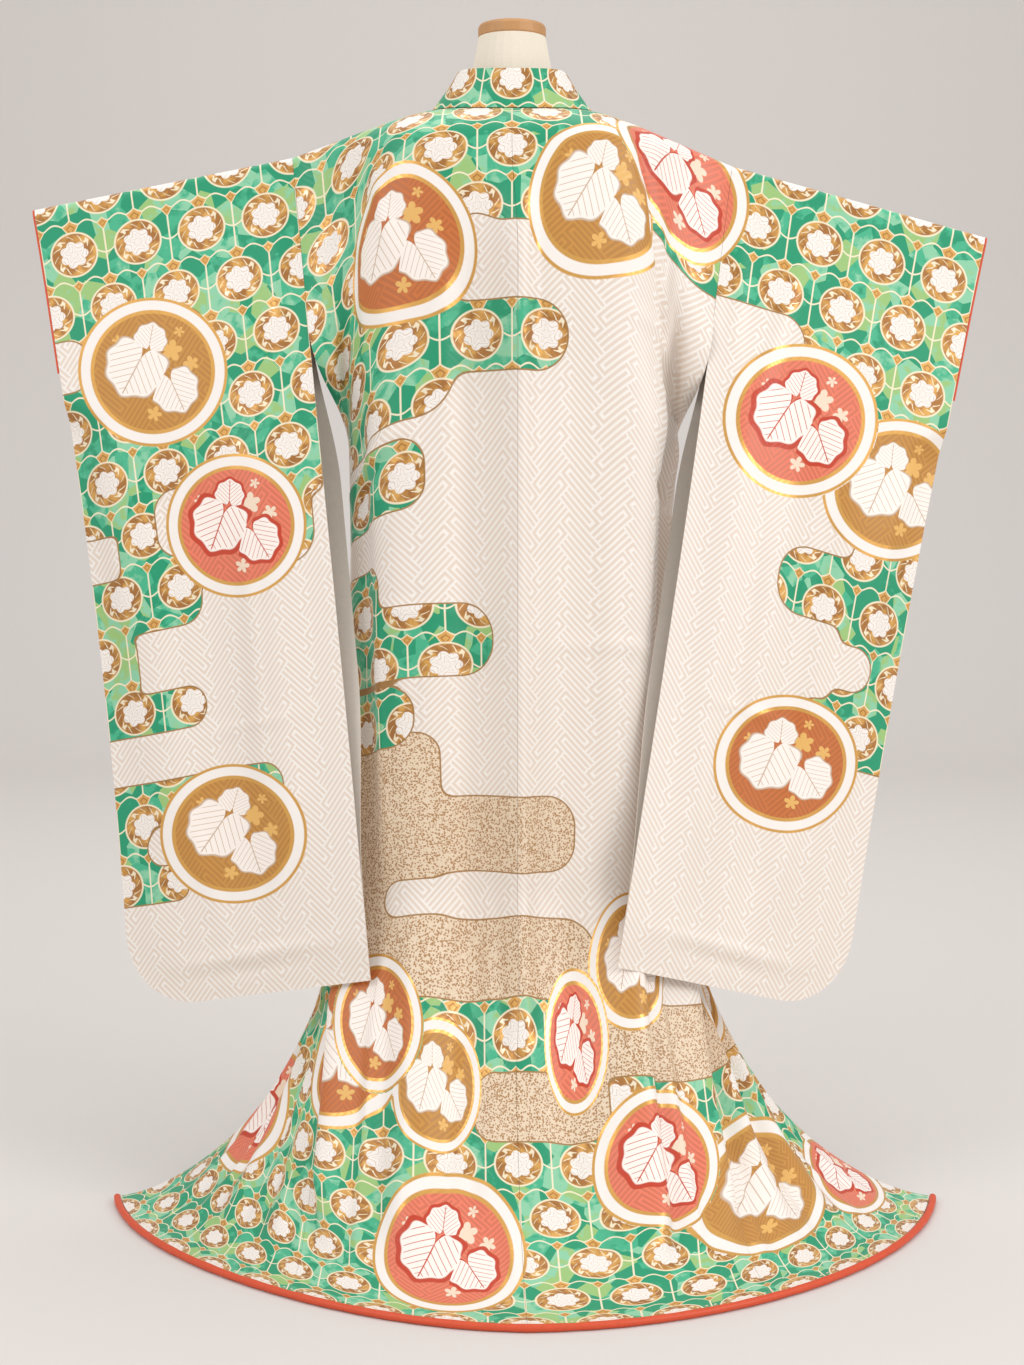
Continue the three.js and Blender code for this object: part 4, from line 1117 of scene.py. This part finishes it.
def shell_faces(rows, columns):
    """Quads of the outer face, the inner face and the rims, in that order."""
    at = np.arange(rows * columns).reshape(rows, columns)
    a, b, c, d = (part.ravel() for part in (at[:-1, :-1], at[:-1, 1:], at[1:, 1:], at[1:, :-1]))
    outer = np.stack([a, b, c, d], 1)
    far = rows * columns
    inner = np.stack([a, d, c, b], 1) + far
    ring = np.concatenate([at[0, :-1], at[:-1, -1], at[-1, :0:-1], at[:0:-1, 0]])
    after = np.roll(ring, -1)
    rims = np.stack([ring, ring + far, after + far, after], 1)
    return outer, inner, rims


def make_piece(name, points, faces, kinds, materials):
    """A mesh object in metres. kinds gives each face's material, counted from 0."""
    mesh = bpy.data.meshes.new(name)
    mesh.vertices.add(len(points))
    mesh.vertices.foreach_set("co", (np.asarray(points) / 1000).astype(np.float32).ravel())
    flat = np.concatenate([np.asarray(part).ravel() for part in faces])
    counts = np.concatenate([np.full(len(part), np.asarray(part).shape[1]) for part in faces])
    mesh.loops.add(len(flat))
    mesh.loops.foreach_set("vertex_index", flat.astype(np.int32))
    mesh.polygons.add(len(counts))
    mesh.polygons.foreach_set("loop_start", np.concatenate([[0], np.cumsum(counts)[:-1]]).astype(np.int32))
    mesh.polygons.foreach_set("loop_total", counts.astype(np.int32))
    mesh.polygons.foreach_set("material_index", np.concatenate(kinds).astype(np.int32))
    mesh.polygons.foreach_set("use_smooth", np.full(len(counts), True))
    mesh.update(calc_edges=True)
    mesh.validate()
    for material in materials:
        mesh.materials.append(material)
    piece = bpy.data.objects.new(name, mesh)
    bpy.context.scene.collection.objects.link(piece)
    return piece


outer, inner, rims = shell_faces(3, 4)
print("a grid of 3 by 4 places has", len(outer), "outer faces and", len(rims), "rim faces")


# %% The map, the notes and the finished shell
def set_map(piece, values):
    """The place on the cut of every point, in metres, as the piece's own map."""
    mesh = piece.data
    layer = mesh.uv_layers.new(name="cut")
    corners = np.empty(len(mesh.loops), np.int32)
    mesh.loops.foreach_get("vertex_index", corners)
    layer.uv.foreach_set("vector", values[corners].astype(np.float32).ravel())


def set_notes(piece, name, values):
    """Three numbers for every point, which the materials read by name."""
    note = piece.data.attributes.new(name, "FLOAT_VECTOR", "POINT")
    note.data.foreach_set("vector", np.asarray(values, np.float32).ravel())


def cloth_piece(name, outer, outward, signed, down, panel, wall=SILK_WALL, rim=LINING):
    """A closed shell: the design outside, lining inside, and rims of the kind that rim says."""
    rows, columns = outer.shape[:2]
    inner = outer - outward * wall
    points = np.concatenate([outer.reshape(-1, 3), inner.reshape(-1, 3)])
    faces = shell_faces(rows, columns)
    centre = faces[0][len(faces[0]) // 2]
    a, b, c = points[centre[0]], points[centre[1]], points[centre[2]]
    if np.dot(np.cross(b - a, c - a), outward.reshape(-1, 3)[centre[0]]) < 0:
        faces = [part[:, ::-1] for part in faces]
    place = np.stack([np.tile(signed.ravel(), 2), np.tile(down.ravel(), 2)], -1) / 1000
    notes, shows = design_notes(panel, place)
    kinds = [
        shows[faces[0]].max(axis=1),
        np.full(len(faces[1]), LINING),
        np.full(len(faces[2]), rim),
    ]
    piece = make_piece(name, points, faces, kinds, silk)
    piece.data.set_sharp_from_angle(angle=SHARP_EDGE)
    set_map(piece, place)
    for note_name, values in notes.items():
        set_notes(piece, note_name, values)
    print(name, len(piece.data.polygons), "faces")
    return piece


print("the cloth's wall is", SILK_WALL, "mm")

# %% [markdown]
# ## Body panels and overlaps
# Each body panel is one length of cloth that runs from the back hem over the shoulder to the front hem,
# with no seam on top. The overlaps are narrow gores sewn to the front edges. The rows lie close together
# over the shoulder, where the cloth turns sharply, and further apart where it hangs.

# %% Rows and columns of the fine cloth
FOLD_STEP, FOLD_END = 1.6, 19.0
FOLD_ROWS = np.arange(FOLD_STEP, FOLD_END, FOLD_STEP)
ROW_STEP = 7.0
COLUMN_STEP = 5.0
OVERLAP_START, OVERLAP_COLUMNS = 212.0, 30


def rows_to(length):
    """Places down the cut, close together over the shoulder and evenly spaced below."""
    even = np.linspace(FOLD_END, length, int((length - FOLD_END) / ROW_STEP) + 1)
    return np.concatenate([FOLD_ROWS, even])


def body_rows(side, down, face, inner, outer, count):
    """Outer points, outward directions, and the design's place across and down, for a stretch of the body.

    The design's place moves over with a crest that leans, so that a figure isn't stretched there.
    """
    share = np.linspace(0, 1, count)
    across = inner[:, None] + (outer - inner[:, None]) * share
    down = np.broadcast_to(down[:, None], across.shape)
    outward = body_outward(side, across, down, face)
    _, lean = creases(BODY_FOLDS, side["sign"] * across, down)
    return body_point(side, across, down, face), outward, side["sign"] * across + lean, down


def joined_layers(behind, before):
    """Back rows upwards, the ridge, then front rows downwards. Both lists begin with the ridge row."""
    ridge = unit(behind[1][:1] + before[1][:1])
    parts = [np.concatenate([behind[k][:0:-1], behind[k][:1], before[k][1:]]) for k in range(4)]
    parts[1][len(behind[1]) - 1] = ridge[0]
    return parts


def body_panel(name):
    side = SIDES[name]
    down = np.concatenate([[0], rows_to(LENGTH)])
    count = int(BACK_WIDTH / COLUMN_STEP)
    behind = body_rows(side, down, BEHIND, back_inner(down), BACK_WIDTH - SEAM / 2, count)
    front_edge = np.full(len(down), OVERLAP_SEAM - SEAM / 2)
    before = body_rows(side, down, BEFORE, front_edge, BACK_WIDTH + SEAM / 2, count)
    return cloth_piece(f"cloth_body_{name}", *joined_layers(behind, before), "body")


def overlap_panel(name):
    side = SIDES[name]
    down = np.linspace(OVERLAP_START, LENGTH, int((LENGTH - OVERLAP_START) / ROW_STEP))
    seam = np.full(len(down), OVERLAP_SEAM + SEAM / 2)
    edge = OVERLAP_SEAM + overlap_width(down)[:, None]
    rows = body_rows(side, down, BEFORE, seam, edge, OVERLAP_COLUMNS)
    return cloth_piece(f"cloth_overlap_{name}", *rows, "body")


print("rows from shoulder to hem", len(rows_to(LENGTH)))

# %% [markdown]
# ## Sleeves
# A furisode's sleeve is one length folded at the top, sewn down the cuff below a hand's opening and along
# the foot, and open on its inner edge. It could be a closed bag pressed flat. Two layers that share the top
# fold and come together at the sewn edges leave the open inner edge open, as it is worn.


# %% Sleeves
def sleeve_panel(name):
    side = SIDES[name]
    near_cuff = [349, 353, 356.5, 358.6, SLEEVE_WIDTH]
    across = np.concatenate([np.linspace(SEAM / 2, 345, 64), near_cuff])
    rows = np.concatenate([[0], rows_to(SLEEVE_DROP)])[:, None]
    down = rows - (SLEEVE_DROP - sleeve_length(side["drop"], across)) * smooth(500, SLEEVE_DROP, rows)
    across = np.broadcast_to(across, down.shape)
    layers = []
    for face in (BEHIND, BEFORE):
        outward = sleeve_outward(name, across, down, face)
        layers.append((sleeve_point(name, across, down, face), outward, side["sign"] * across, down))
    return cloth_piece(f"cloth_sleeve_{name}", *joined_layers(*layers), f"sleeve_{name}")


print("drop of the sleeves", [side["drop"] for side in SIDES.values()], "mm, and of their cut", SLEEVE_DROP)

# %% [markdown]
# ## Collar, hem roll and cuff piping
# The collar is one folded band, sewn round the neck and down both front edges. The hem roll is the red
# lining turned over a wadded edge. The cuffs have the same red in a thin rolled edge. A curve with a round
# section could make the rolls. They are swept here along the same paths as the cloth's edges, and the
# wadding swells unevenly.

# %% Collar
COLLAR_ROWS, COLLAR_COLUMNS = 331, 13


def collar_band():
    places = np.linspace(-(NECK_RUN + COLLAR_END), NECK_RUN + COLLAR_END, COLLAR_ROWS)
    rises = np.linspace(0, 1, COLLAR_COLUMNS)

    def band(shift):
        return np.stack([collar_point(places + shift, np.full(len(places), rise)) for rise in rises], 1)

    grid = band(0)
    along = band(2) - band(-2)
    up = np.repeat((grid[:, -1] - grid[:, 0])[:, None], len(rises), 1)
    outward = unit(np.cross(along, up))
    run = np.concatenate([[0], np.cumsum(np.linalg.norm(np.diff(grid[:, 0], axis=0), axis=1))])
    signed = np.broadcast_to((run - run[len(run) // 2])[:, None], grid.shape[:2])
    down = np.broadcast_to(COLLAR_WIDTH * (0.75 - rises), grid.shape[:2])
    return cloth_piece("cloth_collar", grid, outward, signed, down, "collar", COLLAR_WALL, CLOUDS)


print("the collar is sewn along", 2 * (NECK_RUN + COLLAR_END), "mm")


# %% Tubes
WADDING_LUMPS = (23.0, 9.1)


def resampled(path, count):
    """Points at even distances along a path, and how far along it each one is."""
    length = np.concatenate([[0], np.cumsum(np.linalg.norm(np.diff(path, axis=0), axis=1))])
    wanted = np.linspace(0, length[-1], count)
    return np.stack([np.interp(wanted, length, path[:, k]) for k in range(3)], -1), wanted


def soft_tube(name, path, radius, sides, materials, uneven=0.0):
    """A closed tube round a resampled path. Its radius falls short by up to uneven, in millimetres."""
    path, run = path
    first_lump, second_lump = WADDING_LUMPS
    ahead = unit(np.gradient(path, axis=0))
    side = unit(np.cross(ahead, [0, 0, 1.0]))
    rises_steeply = np.abs(ahead[:, 2]).max() > 0.9
    if rises_steeply:
        side = unit(np.broadcast_to([0, 1.0, 0], path.shape) - ahead * ahead[:, 1:2])
    top = np.cross(side, ahead)
    turn = np.linspace(0, 2 * np.pi, sides, endpoint=False)
    wander = radius - uneven * (1 + np.sin(run / first_lump) * np.sin(run / second_lump + 1)) / 2
    ring = side[:, None] * np.cos(turn)[:, None] + top[:, None] * np.sin(turn)[:, None]
    points = (path[:, None] + ring * wander[:, None, None]).reshape(-1, 3)
    count = len(path)
    at = np.arange(count * sides).reshape(count, sides)
    after = np.roll(at, -1, axis=1)
    walls = np.stack([at[:-1], after[:-1], after[1:], at[1:]], -1).reshape(-1, 4)
    ends = np.concatenate([at[:1, ::-1], at[-1:]])
    piece = make_piece(name, points, [walls, ends], [np.zeros(len(walls), int), np.zeros(2, int)], materials)
    piece.data.set_sharp_from_angle(angle=SHARP_EDGE)
    set_map(piece, np.stack([np.repeat(run, sides), np.tile(turn * radius, count)], -1) / 1000)
    print(name, len(piece.data.polygons), "faces")
    return piece


print("the piping of a cuff is", resampled(cuff_path("left"), 120)[1][-1].round(), "mm long")

# %% [markdown]
# ## Stitches
# The silk is sewn by hand with a running stitch, and only where the lining is caught down do small prick
# stitches show. They sit along the hem, a finger's width above the roll. They could be a fine dashed line
# in the material, but a raised thread catches the light. One stitch is a short bar of thread lying half in
# the cloth, and Geometry Nodes repeats it along the line.


# %% Stitches along a line
def stitch_group():
    group = bpy.data.node_groups.new("hand_stitches", "GeometryNodeTree")
    group.is_modifier = True
    group.interface.new_socket("Edge", in_out="INPUT", socket_type="NodeSocketGeometry")
    for name, value in (("Spacing", 0.012), ("Stitch length", 0.0038), ("Thread width", 0.0007)):
        group.interface.new_socket(name, in_out="INPUT", socket_type="NodeSocketFloat").default_value = value
    group.interface.new_socket("Thread", in_out="INPUT", socket_type="NodeSocketMaterial")
    group.interface.new_socket("Stitches", in_out="OUTPUT", socket_type="NodeSocketGeometry")

    def add(kind, inputs, **settings):
        node = group.nodes.new(kind)
        for name, value in settings.items():
            setattr(node, name, value)
        for name, value in inputs.items():
            if isinstance(value, bpy.types.NodeSocket):
                group.links.new(value, node.inputs[name])
            else:
                node.inputs[name].default_value = value
        return node.outputs

    start = add("NodeGroupInput", {})
    curve = add("GeometryNodeMeshToCurve", {"Mesh": start["Edge"]})["Curve"]
    along = add("GeometryNodeCurveToPoints", {"Curve": curve, "Length": start["Spacing"]}, mode="LENGTH")
    thread = {"Vertices": 6, "Radius": start["Thread width"], "Depth": start["Stitch length"]}
    bar = add("GeometryNodeMeshCylinder", thread)["Mesh"]
    turned = add("FunctionNodeAlignRotationToVector", {"Vector": along["Tangent"]}, axis="Z")["Rotation"]
    at_points = {"Points": along["Points"], "Instance": bar, "Rotation": turned}
    placed = add("GeometryNodeInstanceOnPoints", at_points)
    real = add("GeometryNodeRealizeInstances", {"Geometry": placed["Instances"]})["Geometry"]
    dyed = add("GeometryNodeSetMaterial", {"Geometry": real, "Material": start["Thread"]})["Geometry"]
    add("NodeGroupOutput", {"Stitches": dyed})
    return group


stitches = stitch_group()
silk_thread = plain("silk_thread", dye(232, 214, 186), 0.5)
print("nodes in the stitches' group", len(stitches.nodes))


# %% Stitches as finished pieces
STITCHES_ABOVE_EDGE = 10.0
THREAD_PROUD = 0.2
LINE_POINTS = 90


def stitched(name, path):
    """Stitches along a path, in millimetres, as one finished mesh."""
    line = bpy.data.meshes.new(name + "_line")
    links = [(start, start + 1) for start in range(len(path) - 1)]
    line.from_pydata([tuple(point) for point in path / 1000], links, [])
    guide = bpy.data.objects.new(name + "_line", line)
    bpy.context.scene.collection.objects.link(guide)
    repeat = guide.modifiers.new("hand_stitches", "NODES")
    repeat.node_group = stitches
    repeat[stitches.interface.items_tree["Thread"].identifier] = silk_thread
    made = bpy.data.meshes.new_from_object(guide.evaluated_get(bpy.context.evaluated_depsgraph_get()))
    bpy.data.objects.remove(guide)
    made.name = name
    piece = bpy.data.objects.new(name, made)
    bpy.context.scene.collection.objects.link(piece)
    print(name, len(made.polygons), "faces")
    return piece


def hem_line(name, face, low, high):
    """A line on the cloth's outer face, a finger's width above the roll, from low to high across."""
    side = SIDES[name]
    across = np.linspace(low, high, LINE_POINTS)
    down = np.full(LINE_POINTS, LENGTH - STITCHES_ABOVE_EDGE)
    return body_point(side, across, down, face) + body_outward(side, across, down, face) * THREAD_PROUD


print("a line of stitches begins at", hem_line("left", BEHIND, 0.0, BACK_WIDTH)[0].round(1))

# %% [markdown]
# ## The flat sizes
# A kimono is cut into plain lengths only, so that it can be taken apart, washed and sewn anew. The flat size
# and the area of each panel are worked out from the cut, in metres. The collar bends round the neck, so its
# area is taken a little shorter.

# %% Flat sizes and areas
COLLAR_LENGTH, COLLAR_MIDDLE = 1.98, 1.97
ROUNDED_OFF = (1 - math.pi / 4) * SLEEVE_CORNER ** 2
NECK_CUT = math.pi / 4 * NECK_HALF * NECK_DROP
SLEEVE_AREA = 2 * (SLEEVE_WIDTH * SLEEVE_DROP - ROUNDED_OFF) / 1e6
BODY_AREA = ((BACK_WIDTH + FRONT_WIDTH) * LENGTH - NECK_CUT) / 1e6
OVERLAP_AREA = OVERLAP_WIDTH * (LENGTH - (OVERLAP_TIP + OVERLAP_FULL) / 2) / 1e6
COLLAR_AREA = COLLAR_WIDTH / 1000 * COLLAR_MIDDLE
one_side = SLEEVE_AREA + BODY_AREA + OVERLAP_AREA
print("cloth in the panels", round(2 * one_side + COLLAR_AREA, 2), "square metres")

# %% [markdown]
# ## Piping and hem roll
# Every piece rides on the row's one frame and stands for its own solids. The rolls come first.


# %% Piping and hem roll
def declared(piece, slot, *nodes):
    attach(piece, "root")
    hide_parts(*nodes)
    return piece


for name in SIDES:
    path = resampled(cuff_path(name), 120)
    piping = soft_tube(f"piping_{name}", path, PIPING_RADIUS, sides=10, materials=[red_silk])
    declared(piping, "red_silk", f"cuff_piping_{name}")
path = resampled(hem_path(HEM_PLACES), 700)
hem_roll = soft_tube("hem_roll_cloth", path, ROLL_RADIUS, sides=20, materials=[red_silk], uneven=0.5)
declared(hem_roll, "red_silk", "hem_roll")
print("padded", hem_roll.name)

# %% [markdown]
# ## Panels, stitches and collar
# Each sheet rides on the row's one frame and stands for its own solids. The stitches and the piping are
# pieces of their own that lie on a sheet.

# %% Panels and collar
REACH = OVERLAP_SEAM + OVERLAP_WIDTH
BESIDE_SEAM, BESIDE_SIDE_SEAM, BESIDE_EDGE = 4, 3, 6
for name in SIDES:
    behind = hem_line(name, BEHIND, BESIDE_SEAM, BACK_WIDTH - BESIDE_SIDE_SEAM)
    before = hem_line(name, BEFORE, BACK_WIDTH + BESIDE_SIDE_SEAM, OVERLAP_SEAM - BESIDE_SEAM)
    overlap_line = hem_line(name, BEFORE, OVERLAP_SEAM + BESIDE_SEAM, REACH - BESIDE_EDGE)
    stitches_body = stitched(f"stitches_body_{name}", np.concatenate([behind, before]))
    stitches_overlap = stitched(f"stitches_overlap_{name}", overlap_line)
    panel = declared(body_panel(name), "figured_silk", f"body_{name}")
    declared(stitches_body, "figured_silk", f"body_{name}")
    overlap = declared(overlap_panel(name), "figured_silk", f"overlap_{name}")
    declared(stitches_overlap, "figured_silk", f"overlap_{name}")
    sleeve = declared(sleeve_panel(name), "figured_silk", f"sleeve_{name}")
collar = declared(collar_band(), "figured_silk", "collar")
